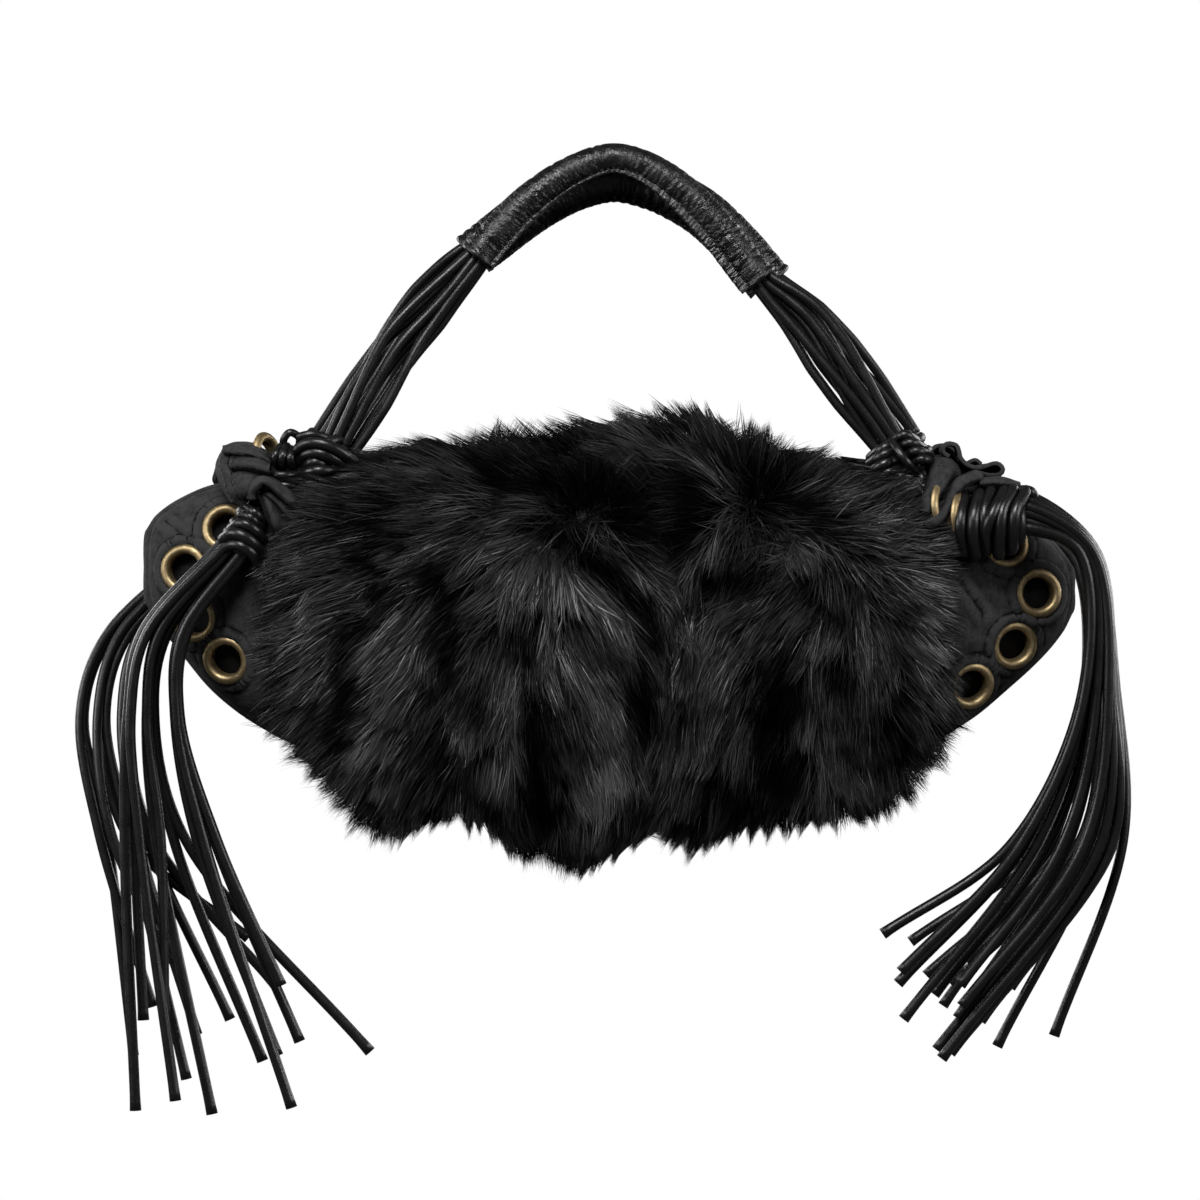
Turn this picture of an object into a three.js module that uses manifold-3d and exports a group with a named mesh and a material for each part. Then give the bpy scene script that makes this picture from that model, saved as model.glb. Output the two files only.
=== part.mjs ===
// A fur handbag that hangs from its two handles: a soft pouch with long-haired panels front and back,
// bare leather ends with rows of metal eyelets, handles and tassels of round leather cords, and
// wound cord knots at the four gathered corners.
//
// Millimetres, +Z up. The wearer's side is +Y and the face of the bag looks along -Y, with +X to its
// right. The origin is the point under the two grips where a hook, a hand or a shoulder carries them.

import * as THREE from "three";
import { mergeVertices } from "three/addons/utils/BufferGeometryUtils.js";
import Module from "manifold-3d";

const wasm = await Module();
wasm.setup();

// ------------------------------------------------------------------------------- driving sizes

const LEATHER = 2; // thickness of every leather wall
const GAP = 0.4; // between pieces that touch
const SEAM_X = 138; // distance of the seams between fur panels and leather ends from the middle
const MOUTH = { halfLength: 104, halfWidth: 17 }; // the open top edge, a lens in plan
const PILE = { body: 14, rim: 6, wave: 5 }; // thickness of the fur, at its rim, and of its billows
const LOCK = { radius: 17, length: 52, flatness: 0.45, lift: 0.22 }; // the locks of the fur
const CORD = 4.6; // diameter of the round leather cords
const NECK = 11; // diameter of the bunch of cords between a knot and its tassel
const FUR_LANE = 39; // width of the lane in the fur for that bunch
const EYELET = { outer: 10.6, brow: 8.4, barrel: 8.1, hole: 6.6, crown: 2.6, tail: 3 }; // radii and heights
const HOLE_RADIUS = (EYELET.barrel + GAP) / Math.cos(Math.PI / 6); // of the six-sided holes for them
const POUCH_ROOM = 1.8; // between the pouch and what lies on it
const PLEAT_REACH = 12; // how far the gathered pleats stand out from the cords
const FACE_GRID = { columns: 10, rows: 7 }; // facets of a face between the seams

// The pouch under the fur: heights of its top and bottom edges and its half depth, along X.
const POUCH_SECTIONS = [
  { x: -204, top: -150, bottom: -180, half: 3 },
  { x: -200, top: -144, bottom: -187, half: 8 },
  { x: -190, top: -137, bottom: -200, half: 13 },
  { x: -175, top: -131, bottom: -218, half: 18 },
  { x: -155, top: -130, bottom: -233, half: 24 },
  { x: -120, top: -130, bottom: -250, half: 36 },
  { x: -60, top: -118, bottom: -267, half: 47 },
  { x: 0, top: -112, bottom: -273, half: 50 },
  { x: 60, top: -114, bottom: -267, half: 47 },
  { x: 120, top: -130, bottom: -250, half: 36 },
  { x: 155, top: -133, bottom: -230, half: 24 },
  { x: 172, top: -138, bottom: -216, half: 18 },
  { x: 186, top: -150, bottom: -203, half: 13 },
  { x: 195, top: -160, bottom: -192, half: 8 },
  { x: 199, top: -166, bottom: -184, half: 3 },
];

// Centres of the eyelets on the faces of the two ends, in X and Z.
const END_EYELETS = {
  left: [
    { x: -169.8, z: -148.3 },
    { x: -188, z: -166 },
    { x: -183.5, z: -187.2 },
    { x: -169.5, z: -205.5 },
  ],
  right: [
    { x: 170, z: -155.4 },
    { x: 184.5, z: -176.5 },
    { x: 174, z: -199 },
    { x: 155, z: -216.5 },
  ],
};

// Each handle is a bundle of cords: its middle line and its half sizes in the arch's plane and in depth.
const FRONT_HANDLE = {
  face: -1,
  apexY: 9,
  endY: 17,
  grip: { from: -60, to: 65, wide: 8.9, deep: 7.8 },
  stations: [
    { x: -120, z: -112.5, wide: 8, deep: 8 },
    { x: -107, z: -90, wide: 11.5, deep: 8 },
    { x: -94.6, z: -69.5, wide: 12.5, deep: 8 },
    { x: -80.5, z: -52.8, wide: 10.5, deep: 7 },
    { x: -62, z: -30, wide: 5.6, deep: 4.7 },
    { x: -38.3, z: -3.5, wide: 5.6, deep: 4.7 },
    { x: -17, z: 12.6, wide: 5.6, deep: 4.7 },
    { x: 0, z: 17.6, wide: 5.6, deep: 4.7 },
    { x: 17, z: 12.6, wide: 5.6, deep: 4.7 },
    { x: 38.3, z: -6.2, wide: 5.6, deep: 4.7 },
    { x: 66.5, z: -36.8, wide: 5.6, deep: 4.7 },
    { x: 82.3, z: -55, wide: 10.5, deep: 7 },
    { x: 93.7, z: -71.3, wide: 12.5, deep: 8 },
    { x: 104.3, z: -88, wide: 11.5, deep: 8 },
    { x: 120, z: -112.5, wide: 8, deep: 8 },
  ],
};
const BACK_HANDLE = {
  face: 1,
  apexY: 8,
  endY: 17,
  grip: { from: -63, to: 68, wide: 12.4, deep: 7 },
  stations: [
    { x: -128, z: -111, wide: 8, deep: 8 },
    { x: -111, z: -84, wide: 10, deep: 8 },
    { x: -97, z: -64, wide: 10.5, deep: 7.5 },
    { x: -83, z: -47, wide: 10, deep: 6 },
    { x: -64, z: -27, wide: 9, deep: 3.8 },
    { x: -38, z: -4, wide: 9, deep: 3.8 },
    { x: -17, z: 8.6, wide: 9, deep: 3.8 },
    { x: 0, z: 12.5, wide: 9, deep: 3.8 },
    { x: 17, z: 8, wide: 9, deep: 3.8 },
    { x: 38, z: -9, wide: 9, deep: 3.8 },
    { x: 69, z: -39, wide: 9, deep: 3.8 },
    { x: 85, z: -55, wide: 10, deep: 6 },
    { x: 98, z: -70, wide: 10.5, deep: 7.5 },
    { x: 112, z: -87, wide: 10, deep: 8 },
    { x: 129, z: -109, wide: 8, deep: 8 },
  ],
};

// The four gathered corners. Each has a wound knot under its handle, a neck of cords that bends over
// to a wound barrel, and a tassel. Pleats of leather stand along the line from the crest to the mouth
// of the barrel, folded first towards fold, and some hold an eyelet. inner and outer are the sides of
// the hanging bundle at its shoulder, hip and knee; a strand's spread is its place between them and
// depth its offset towards the wearer.
const CORNERS = {
  left_front: {
    knot: { x: -123, y: -18, z: -117, radius: 11, length: 19 },
    bend: { x: -140, y: -24, z: -129 },
    crest: { x: -153, y: -17, z: -108 },
    fold: -1,
    barrel: { x: -161.5, y: -31, z: -150.5, radius: 9, length: 21, coils: 4, aim: [-0.5, -0.12, -0.86] },
    pleats: [
      { along: 3, eyelet: -1 },
      { along: 12, eyelet: 0 },
      { along: 21, eyelet: 0 },
    ],
    inner: [{ x: -185, y: -30, z: -194 }, { x: -188, y: -26, z: -229 }, { x: -173, y: -22, z: -283 }],
    outer: [{ x: -206, y: -29, z: -194 }, { x: -213, y: -25, z: -229 }, { x: -214, y: -21, z: -283 }],
    strands: [
      { spread: 1.0, endX: -209, endZ: -400, depth: 0 },
      { spread: 0.8, endX: -190, endZ: -395, depth: -7 },
      { spread: 0.65, endX: -175.5, endZ: -403, depth: 5 },
      { spread: 0.35, endX: -107, endZ: -375, depth: 7 },
      { spread: 0.15, endX: -140.5, endZ: -396, depth: -7 },
      { spread: 0.0, endX: -136.5, endZ: -369, depth: 2 },
    ],
  },
  left_back: {
    knot: { x: -131, y: 18, z: -113.5, radius: 10, length: 18 },
    bend: { x: -144, y: 24, z: -124 },
    crest: { x: -158, y: 17, z: -110 },
    fold: -1,
    barrel: { x: -166, y: 32, z: -148, radius: 9, length: 21, coils: 4, aim: [-0.7, 0.1, -0.7] },
    pleats: [
      { along: 3, eyelet: -1 },
      { along: 13, eyelet: 0 },
    ],
    inner: [{ x: -207, y: 30, z: -194 }, { x: -214, y: 25, z: -229 }, { x: -206, y: 20, z: -283 }],
    outer: [{ x: -226, y: 29, z: -194 }, { x: -238, y: 24, z: -229 }, { x: -229, y: 19, z: -283 }],
    strands: [
      { spread: 1.0, endX: -205, endZ: -360, depth: 0 },
      { spread: 0.75, endX: -196, endZ: -340, depth: -6 },
      { spread: 0.5, endX: -162.5, endZ: -330, depth: 5 },
      { spread: 0.25, endX: -185, endZ: -372, depth: -4 },
      { spread: 0.0, endX: -150, endZ: -352, depth: 3 },
    ],
  },
  right_front: {
    knot: { x: 122.5, y: -18, z: -115.5, radius: 10.5, length: 19 },
    bend: { x: 132, y: -29, z: -136 },
    crest: { x: 132, y: -29, z: -136 },
    fold: 1,
    barrel: { x: 166.5, y: -33, z: -142, radius: 12.3, length: 31, coils: 6, aim: [0.98, -0.06, 0.02] },
    pleats: [
      { along: 4, eyelet: 1 },
      { along: 12, eyelet: 1 },
    ],
    inner: [{ x: 200, y: -32, z: -158 }, { x: 202, y: -28, z: -220 }, { x: 172, y: -22, z: -286 }],
    outer: [{ x: 209, y: -31, z: -158 }, { x: 217, y: -27, z: -220 }, { x: 217, y: -21, z: -286 }],
    strands: [
      { spread: 0.0, endX: 116.5, endZ: -323, depth: 0 },
      { spread: 0.14, endX: 124, endZ: -343.5, depth: -7 },
      { spread: 0.3, endX: 125.5, endZ: -358.5, depth: 5 },
      { spread: 0.5, endX: 146, endZ: -346, depth: -4 },
      { spread: 0.75, endX: 150, endZ: -361, depth: -6 },
      { spread: 0.88, endX: 138, endZ: -373, depth: 2 },
      { spread: 1.0, endX: 146, endZ: -375.5, depth: -3 },
    ],
  },
  right_back: {
    knot: { x: 132, y: 18, z: -111, radius: 10, length: 18 },
    bend: { x: 140, y: 25, z: -128 },
    crest: { x: 138, y: 25, z: -126 },
    fold: 1,
    barrel: { x: 168, y: 33, z: -140, radius: 10, length: 26, coils: 5, aim: [0.95, 0.1, -0.1] },
    pleats: [
      { along: 4, eyelet: 0 },
      { along: 12, eyelet: 1 },
    ],
    inner: [{ x: 203, y: 32, z: -160 }, { x: 208, y: 27, z: -220 }, { x: 190, y: 21, z: -286 }],
    outer: [{ x: 213, y: 31, z: -160 }, { x: 224, y: 26, z: -220 }, { x: 226, y: 20, z: -286 }],
    strands: [
      { spread: 1.0, endX: 196, endZ: -371, depth: 0 },
      { spread: 0.8, endX: 162, endZ: -366, depth: -6 },
      { spread: 0.6, endX: 150, endZ: -351, depth: 5 },
      { spread: 0.3, endX: 138, endZ: -346, depth: -3 },
      { spread: 0.0, endX: 131, endZ: -331, depth: -5 },
    ],
  },
};

// Whorls that the hair of a panel lies away from, with their reach.
const WHORLS = [
  { x: -45, z: -168, reach: 95 },
  { x: 52, z: -152, reach: 60 },
  { x: 66, z: -196, reach: 70 },
  { x: -6, z: -214, reach: 55 },
];

// ------------------------------------------------------------------------------------ materials

const material = (color, roughness, metalness = 0) =>
  new THREE.MeshStandardMaterial({ color, roughness, metalness });
const FUR = material(0x151515, 0.8);
const NUBUCK = material(0x232323, 0.85);
const CORD_LEATHER = material(0x161616, 0.4);
const GRIP_LEATHER = material(0x191919, 0.45);
const BRASS = material(0x8f7648, 0.35, 1);

// -------------------------------------------------------------------------------------- solids

// A closed geometry as a solid that can be joined and cut.
function solidOf(geometry) {
  const bare = geometry.clone();
  for (const name of ["normal", "uv"]) bare.deleteAttribute(name);
  const merged = mergeVertices(bare, 1e-4);
  return new wasm.Manifold(
    new wasm.Mesh({
      numProp: 3,
      vertProperties: new Float32Array(merged.attributes.position.array),
      triVerts: new Uint32Array(merged.index.array),
    }),
  );
}

// A solid back as a geometry.
function geometryOf(solid) {
  const { vertProperties, triVerts } = solid.getMesh();
  const geometry = new THREE.BufferGeometry();
  geometry.setAttribute("position", new THREE.BufferAttribute(vertProperties, 3));
  geometry.setIndex(new THREE.BufferAttribute(triVerts, 1));
  geometry.computeVertexNormals();
  return geometry;
}

// The largest of a solid's separate bodies, without the slivers that a cut can leave.
function mainBody(solid) {
  return solid.decompose().sort((a, b) => b.volume() - a.volume())[0];
}

// A triangle mesh from points and faces that name them.
function meshOf(points, faces) {
  const geometry = new THREE.BufferGeometry();
  geometry.setAttribute(
    "position",
    new THREE.Float32BufferAttribute(points.flatMap((p) => [p.x, p.y, p.z]), 3),
  );
  geometry.setIndex(faces.flat());
  return geometry;
}

// A body through closed rings of equally many points, flat at both ends.
function loft(rings) {
  const n = rings[0].length;
  const faces = [];
  for (let i = 0; i + 1 < rings.length; i++)
    for (let j = 0; j < n; j++) {
      const a = i * n + j;
      const b = i * n + ((j + 1) % n);
      faces.push([a, b, b + n], [a, b + n, a + n]);
    }
  const last = (rings.length - 1) * n;
  for (let j = 1; j + 1 < n; j++) faces.push([0, j + 1, j], [last, last + j, last + j + 1]);
  return outward(meshOf(rings.flat(), faces));
}

// A thick sheet between two grids of points, outer and inner.
function thickSheet(outer, inner) {
  const rows = outer.length;
  const columns = outer[0].length;
  const at = (layer, i, j) => (layer * rows + i) * columns + j;
  const faces = [];
  const quad = (a, b, c, d) => faces.push([a, b, c], [a, c, d]);
  for (let i = 0; i + 1 < rows; i++)
    for (let j = 0; j + 1 < columns; j++) {
      quad(at(0, i, j), at(0, i + 1, j), at(0, i + 1, j + 1), at(0, i, j + 1));
      quad(at(1, i, j), at(1, i, j + 1), at(1, i + 1, j + 1), at(1, i + 1, j));
    }
  for (let i = 0; i + 1 < rows; i++) {
    quad(at(0, i, 0), at(1, i, 0), at(1, i + 1, 0), at(0, i + 1, 0));
    const j = columns - 1;
    quad(at(0, i, j), at(0, i + 1, j), at(1, i + 1, j), at(1, i, j));
  }
  for (let j = 0; j + 1 < columns; j++) {
    quad(at(0, 0, j), at(0, 0, j + 1), at(1, 0, j + 1), at(1, 0, j));
    const i = rows - 1;
    quad(at(0, i, j), at(1, i, j), at(1, i, j + 1), at(0, i, j + 1));
  }
  return outward(meshOf([...outer.flat(), ...inner.flat()], faces));
}

// The same geometry with its faces pointing out.
function outward(geometry) {
  if (solidOf(geometry).volume() > 0) return geometry;
  const index = geometry.index.array;
  for (let i = 0; i < index.length; i += 3) [index[i + 1], index[i + 2]] = [index[i + 2], index[i + 1]];
  return geometry;
}

// A round tube of one diameter along a curve.
function tube(curve, diameter, sides, steps) {
  const section = new THREE.Shape(
    Array.from({ length: sides }, (_, i) => {
      const turn = (2 * Math.PI * i) / sides;
      return new THREE.Vector2(Math.cos(turn), Math.sin(turn)).multiplyScalar(diameter / 2);
    }),
  );
  return new THREE.ExtrudeGeometry(section, { steps, bevelEnabled: false, extrudePath: curve });
}

// A piece moved so that its +Z lies along aim and its origin at place.
function aimed(geometry, place, aim) {
  const turn = new THREE.Quaternion().setFromUnitVectors(new THREE.Vector3(0, 0, 1), aim);
  return geometry.clone().applyQuaternion(turn).translate(place.x, place.y, place.z);
}

const point = ({ x, y, z }) => new THREE.Vector3(x, y, z);
const smooth = THREE.MathUtils.smoothstep;

// --------------------------------------------------------------------------------------- pouch

// The pouch's section at x: a smooth line through each column of the table.
function sectionAt(x) {
  const rows = POUCH_SECTIONS;
  const last = rows.length - 1;
  const clamped = THREE.MathUtils.clamp(x, rows[0].x, rows[last].x);
  const k = Math.min(rows.findIndex((row) => row.x >= clamped) || 1, last);
  const [a, b] = [rows[k - 1], rows[k]];
  const t = (clamped - a.x) / (b.x - a.x);
  const slope = (i, column) => {
    const [p, q] = [rows[Math.max(i - 1, 0)], rows[Math.min(i + 1, last)]];
    return (q[column] - p[column]) / (q.x - p.x);
  };
  const value = (column) => {
    const span = b.x - a.x;
    const [t2, t3] = [t * t, t * t * t];
    return (
      (2 * t3 - 3 * t2 + 1) * a[column] +
      (t3 - 2 * t2 + t) * span * slope(k - 1, column) +
      (3 * t2 - 2 * t3) * b[column] +
      (t3 - t2) * span * slope(k, column)
    );
  };
  return { top: value("top"), bottom: value("bottom"), half: value("half") };
}

// A point of the pouch, out from its outer face by offset. turn is 0 at the top and PI at the bottom.
function pouchPoint(x, turn, face, offset) {
  const { top, bottom, half } = sectionAt(x);
  const middle = (top + bottom) / 2;
  const height = (top - bottom) / 2 + offset;
  return new THREE.Vector3(x, face * (half + offset) * Math.sin(turn), middle + height * Math.cos(turn));
}

// The end of the pouch on one side.
function tipX(side) {
  return POUCH_SECTIONS.at(side < 0 ? 0 : -1).x;
}

// The turn at which a face of the pouch starts: at the mouth's edge, or near the closed ridge beyond it.
function mouthTurn(x) {
  const share = 1 - (x / MOUTH.halfLength) ** 2;
  const width = share > 0 ? MOUTH.halfWidth * Math.sqrt(share) : 0;
  return Math.asin(Math.max(width, GAP / 2) / sectionAt(x).half);
}

// The place and the outward direction of the pouch's face at x and z.
function pouchFace(x, z, face) {
  const turnAt = (u, v) => {
    const { top, bottom } = sectionAt(u);
    return Math.acos(THREE.MathUtils.clamp((2 * v - top - bottom) / (top - bottom), -1, 1));
  };
  const at = (u, v) => pouchPoint(u, turnAt(u, v), face, 0);
  const along = at(x + 1, z).sub(at(x - 1, z));
  const up = at(x, z + 1).sub(at(x, z - 1));
  const out = along.cross(up).normalize();
  if (out.y * face < 0) out.negate();
  return { place: at(x, z), out };
}

// A grid of points over one face between the seams.
function faceGrid(face, offsetAt) {
  const { columns, rows } = FACE_GRID;
  return Array.from({ length: columns + 1 }, (_, i) => {
    const x = THREE.MathUtils.lerp(-SEAM_X, SEAM_X, i / columns);
    const first = mouthTurn(x);
    const last = Math.PI - Math.asin(GAP / 2 / sectionAt(x).half);
    return Array.from({ length: rows + 1 }, (_, j) => {
      const turn = THREE.MathUtils.lerp(first, last, j / rows);
      return pouchPoint(x, turn, face, offsetAt(x, turn, j / rows));
    });
  });
}

// The part of one face between two offsets from the pouch's outer face.
function faceLayer(face, outerAt, innerAt) {
  return thickSheet(faceGrid(face, outerAt), faceGrid(face, innerAt));
}

// The closed shape of the pouch from one place to another along X, with its sections closer at the end.
function pouchBody(from, to, offset, steps) {
  const sides = 12;
  return loft(
    Array.from({ length: steps + 1 }, (_, i) => {
      const x = THREE.MathUtils.lerp(from, to, Math.sin((i / steps) * (Math.PI / 2)));
      return Array.from({ length: sides }, (_, j) => pouchPoint(x, (2 * Math.PI * j) / sides, 1, offset));
    }),
  );
}

const pouchRoom = [-1, 1]
  .map((side) => solidOf(pouchBody(-side, tipX(side), POUCH_ROOM, 14)))
  .reduce((left, right) => left.add(right));

// A bare leather end: a cup with a blunt, rounded edge and a hole for each eyelet.
function leatherEnd(side, seats) {
  const outer = solidOf(pouchBody(side * (SEAM_X + GAP), tipX(side), 0, 5));
  const hollow = solidOf(pouchBody(side * (SEAM_X - 4), tipX(side) - side * 4, -LEATHER, 5));
  const punch = new THREE.CylinderGeometry(HOLE_RADIUS, HOLE_RADIUS, 14, 6).rotateX(Math.PI / 2);
  const holes = seats.map(({ place, out }) => solidOf(aimed(punch, place, out)));
  return mainBody(holes.reduce((cup, hole) => cup.subtract(hole), outer.subtract(hollow)));
}

// ------------------------------------------------------------------------------------- eyelets

// A rolled metal ring: a domed flange on the leather and a barrel through it.
const eyeletRing = new THREE.LatheGeometry(
  [
    [EYELET.hole, -EYELET.tail],
    [EYELET.barrel, GAP],
    [EYELET.outer, GAP],
    [EYELET.brow, EYELET.crown],
    [EYELET.hole, -EYELET.tail],
  ].map(([radius, height]) => new THREE.Vector2(radius, height)),
  10,
).rotateX(Math.PI / 2);

// ----------------------------------------------------------------------------------------- fur

// The thickness of the pile over a panel: thin at its rim, with slanting billows across it.
function pileAt(x, turn, down) {
  const rim = smooth(SEAM_X - Math.abs(x), 0, 22) * smooth(down, -0.3, 0.12);
  const billow =
    0.6 * Math.sin(x / 17 + 2.4 * turn) +
    0.7 * Math.sin(x / 31 - 1.7 * turn + 1) +
    0.3 * Math.cos(x / 11 - turn);
  return THREE.MathUtils.lerp(PILE.rim, PILE.body + PILE.wave * billow + 4 * smooth(down, 0.6, 1), rim);
}

// The way in which the hair lies at x and z: away from the whorls.
function hairFlow(x, z) {
  const flow = new THREE.Vector2();
  for (const whorl of WHORLS) {
    const away = new THREE.Vector2(x - whorl.x, z - whorl.z);
    flow.addScaledVector(away, 1 / (whorl.reach + away.lengthSq() / 40));
  }
  return flow.add(new THREE.Vector2(0, -0.05)).normalize();
}

// A long-haired panel: its pile with a lock at each place of a staggered grid.
function furPanel(face) {
  const { columns, rows } = FACE_GRID;
  const roots = faceGrid(face, pileAt);
  const otherSide = new THREE.BoxGeometry(800, 100, 800).translate(0, -face * (50 - GAP / 2), 0);
  const under = solidOf(faceLayer(face, () => GAP, () => -LEATHER - GAP)).add(pouchRoom);
  const locks = [];
  for (let i = 0; i <= columns; i += 2)
    for (let j = 1 + ((i / 2) % 2); j <= rows; j += 2) locks.push(furLock(roots[i][j]).subtract(under));
  const pile = solidOf(faceLayer(face, pileAt, () => GAP));
  return locks.reduce((fur, lock) => fur.add(lock), pile).subtract(solidOf(otherSide));
}

// One lock of hair, a flat pyramid that lies along the flow with its tip lifted off the pile.
function furLock(root) {
  const { top, bottom } = sectionAt(root.x);
  const out = new THREE.Vector3(0, root.y, root.z - (top + bottom) / 2).normalize();
  const flow = hairFlow(root.x, root.z);
  const lie = new THREE.Vector3(flow.x, 0, flow.y);
  lie.addScaledVector(out, LOCK.lift - lie.dot(out)).normalize();
  const across = out.clone().cross(lie).normalize();
  const lock = new THREE.ConeGeometry(LOCK.radius, LOCK.length, 4).scale(1, 1, LOCK.flatness);
  lock.translate(0, LOCK.length / 2 - LOCK.radius, 0);
  lock.applyMatrix4(new THREE.Matrix4().makeBasis(across, lie, across.clone().cross(lie)));
  const foot = root.clone().addScaledVector(out, -LOCK.radius * LOCK.flatness * 0.6);
  return solidOf(lock.translate(foot.x, foot.y, foot.z));
}

// ------------------------------------------------------------------------------------- handles

// The rings of a handle's section, lobed by the cords in it where lobes are asked for.
function handleRings({ stations, face, apexY, endY }, from, to, steps, sizeAt, lobes) {
  const sides = lobes ? 2 * lobes : 10;
  const line = new THREE.CatmullRomCurve3(
    stations.map(({ x, z }) => {
      const drop = smooth(Math.abs(x), 60, 116);
      return new THREE.Vector3(x, face * THREE.MathUtils.lerp(apexY, endY, drop), z);
    }),
  );
  return Array.from({ length: steps + 1 }, (_, i) => {
    const u = THREE.MathUtils.lerp(from, to, i / steps);
    const tangent = line.getTangent(u);
    const up = new THREE.Vector3(-tangent.z, 0, tangent.x).normalize();
    const across = tangent.clone().cross(up).normalize();
    const { wide, deep } = sizeAt(u * (stations.length - 1));
    return Array.from({ length: sides }, (_, j) => {
      const turn = (2 * Math.PI * j) / sides;
      const swell = lobes && j % 2 ? 0.86 : 1;
      return line
        .getPoint(u)
        .addScaledVector(up, wide * swell * Math.cos(turn))
        .addScaledVector(across, deep * swell * Math.sin(turn));
    });
  });
}

// The bundle of cords of one handle, from knot to knot.
function handleCords(handle, knots) {
  const { stations } = handle;
  const sizeAt = (place) => {
    const k = Math.min(Math.floor(place), stations.length - 2);
    const t = place - k;
    return {
      wide: THREE.MathUtils.lerp(stations[k].wide, stations[k + 1].wide, t),
      deep: THREE.MathUtils.lerp(stations[k].deep, stations[k + 1].deep, t),
    };
  };
  const bundle = solidOf(loft(handleRings(handle, 0, 1, 15, sizeAt, 5)));
  return mainBody(knots.reduce((cords, corner) => cords.subtract(knotRoom(corner, GAP)), bundle));
}

// The share of a handle's line at which it passes x.
function shareAt({ stations }, x) {
  const k = stations.findIndex((row) => row.x >= x);
  const [a, b] = [stations[k - 1], stations[k]];
  return (k - 1 + (x - a.x) / (b.x - a.x)) / (stations.length - 1);
}

// The leather sleeve that holds a handle's cords together at the hand.
function grip(handle) {
  const { from, to, wide, deep } = handle.grip;
  const [first, last] = [shareAt(handle, from), shareAt(handle, to)];
  const rings = (shrink, reach) => {
    const size = { wide: wide - shrink, deep: deep - shrink };
    return handleRings(handle, first - reach, last + reach, 6, () => size, 0);
  };
  return solidOf(loft(rings(0, 0))).subtract(solidOf(loft(rings(LEATHER, 0.004))));
}

// --------------------------------------------------------------------------- knots and tassels

// A tight winding of cord: ribs along +Z on a barrel that narrows to its ends.
function winding(radius, length, coils) {
  const profile = [new THREE.Vector2(0, -length / 2)];
  for (let i = 0; i <= 2 * coils; i++) {
    const along = i / (2 * coils);
    const belly = 0.88 + 0.12 * Math.sin(Math.PI * along);
    const groove = i % 2 ? 0 : CORD / 4;
    profile.push(new THREE.Vector2(radius * belly - groove, length * (along - 0.5)));
  }
  profile.push(new THREE.Vector2(0, length / 2));
  return new THREE.LatheGeometry(profile, 7).rotateX(Math.PI / 2);
}

// The two windings of a knot as placed pieces, made by a function of radius, length and coils.
function knotPieces({ knot }, pieceOf) {
  const along = new THREE.Vector3(Math.sign(knot.x) * 0.5, 0, -0.86).normalize();
  const across = new THREE.Vector3(Math.sign(knot.x) * 0.3, 0.1, 0.12).normalize();
  const foot = point(knot).addScaledVector(along, knot.length * 0.3);
  const main = aimed(pieceOf(knot.radius, knot.length, 3), point(knot), along);
  const second = aimed(pieceOf(knot.radius * 0.75, knot.radius * 2.5, 2), foot, across);
  return solidOf(main).add(solidOf(second));
}

// The wound knot under one end of a handle, with a second winding across its foot.
const handleKnot = (corner) => knotPieces(corner, winding);

// The room that a knot takes up, with some to spare.
const knotRoom = (corner, spare) =>
  knotPieces(corner, (radius, length) =>
    new THREE.CylinderGeometry(radius + spare, radius + spare, length + 2 * spare, 7).rotateX(Math.PI / 2),
  );

// The cords between a knot and the barrel of its tassel: from the knot over the bend to the barrel.
function neckStops({ knot, bend, barrel }) {
  const aim = new THREE.Vector3(...barrel.aim).normalize();
  return [point(knot), point(bend), point(barrel).addScaledVector(aim, 2 - barrel.length / 2)];
}

// The two straight stretches of a neck.
function neckLines(corner) {
  const [start, bend, mouth] = neckStops(corner);
  return [new THREE.LineCurve3(start, bend), new THREE.LineCurve3(bend, mouth)];
}

// The line that the pleats stand across.
function pleatedLine(corner) {
  return new THREE.LineCurve3(point(corner.crest), neckStops(corner)[2]);
}

// The route of one cord of a tassel: out of the barrel, over the shoulder and down to its cut end.
function strandLine({ barrel, inner, outer }, { spread, depth, endX, endZ }) {
  const aim = new THREE.Vector3(...barrel.aim).normalize();
  const outwards = new THREE.Vector3(0, -Math.sign(barrel.x), 0).cross(aim).normalize();
  const exit = point(barrel)
    .addScaledVector(aim, barrel.length / 2 - 3)
    .addScaledVector(outwards, (spread - 0.5) * 0.9 * barrel.radius)
    .add(new THREE.Vector3(0, depth * 0.4, 0));
  const bundle = inner.map((row, k) => point(row).lerp(point(outer[k]), spread));
  bundle.forEach((place, k) => (place.y += (depth * (k + 2)) / 4));
  const end = new THREE.Vector3(endX, bundle[2].y, endZ);
  return new THREE.CatmullRomCurve3([exit, ...bundle, end], false, "centripetal");
}

// A tassel: the neck of its cords, its wound barrel and its hanging cords, joined.
function tassel(corner) {
  const { barrel, strands } = corner;
  const aim = new THREE.Vector3(...barrel.aim).normalize();
  const head = solidOf(aimed(winding(barrel.radius, barrel.length, barrel.coils), point(barrel), aim));
  const cords = strands.map((strand) => solidOf(tube(strandLine(corner, strand), CORD, 5, 4)));
  const parts = [...neckLines(corner).map((line) => solidOf(tube(line, NECK, 7, 1))), ...cords];
  return parts.reduce((whole, part) => whole.add(part), head);
}

// The places and outward directions of the eyelets in a corner's pleats.
function pleatSeats(corner) {
  const line = pleatedLine(corner);
  return corner.pleats
    .filter(({ eyelet }) => eyelet)
    .map(({ along, eyelet }) => {
      const aim = line.getTangent(0);
      const place = point(corner.crest).addScaledVector(aim, along + (eyelet * LEATHER) / 2);
      return { place, out: aim.multiplyScalar(eyelet) };
    });
}

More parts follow.
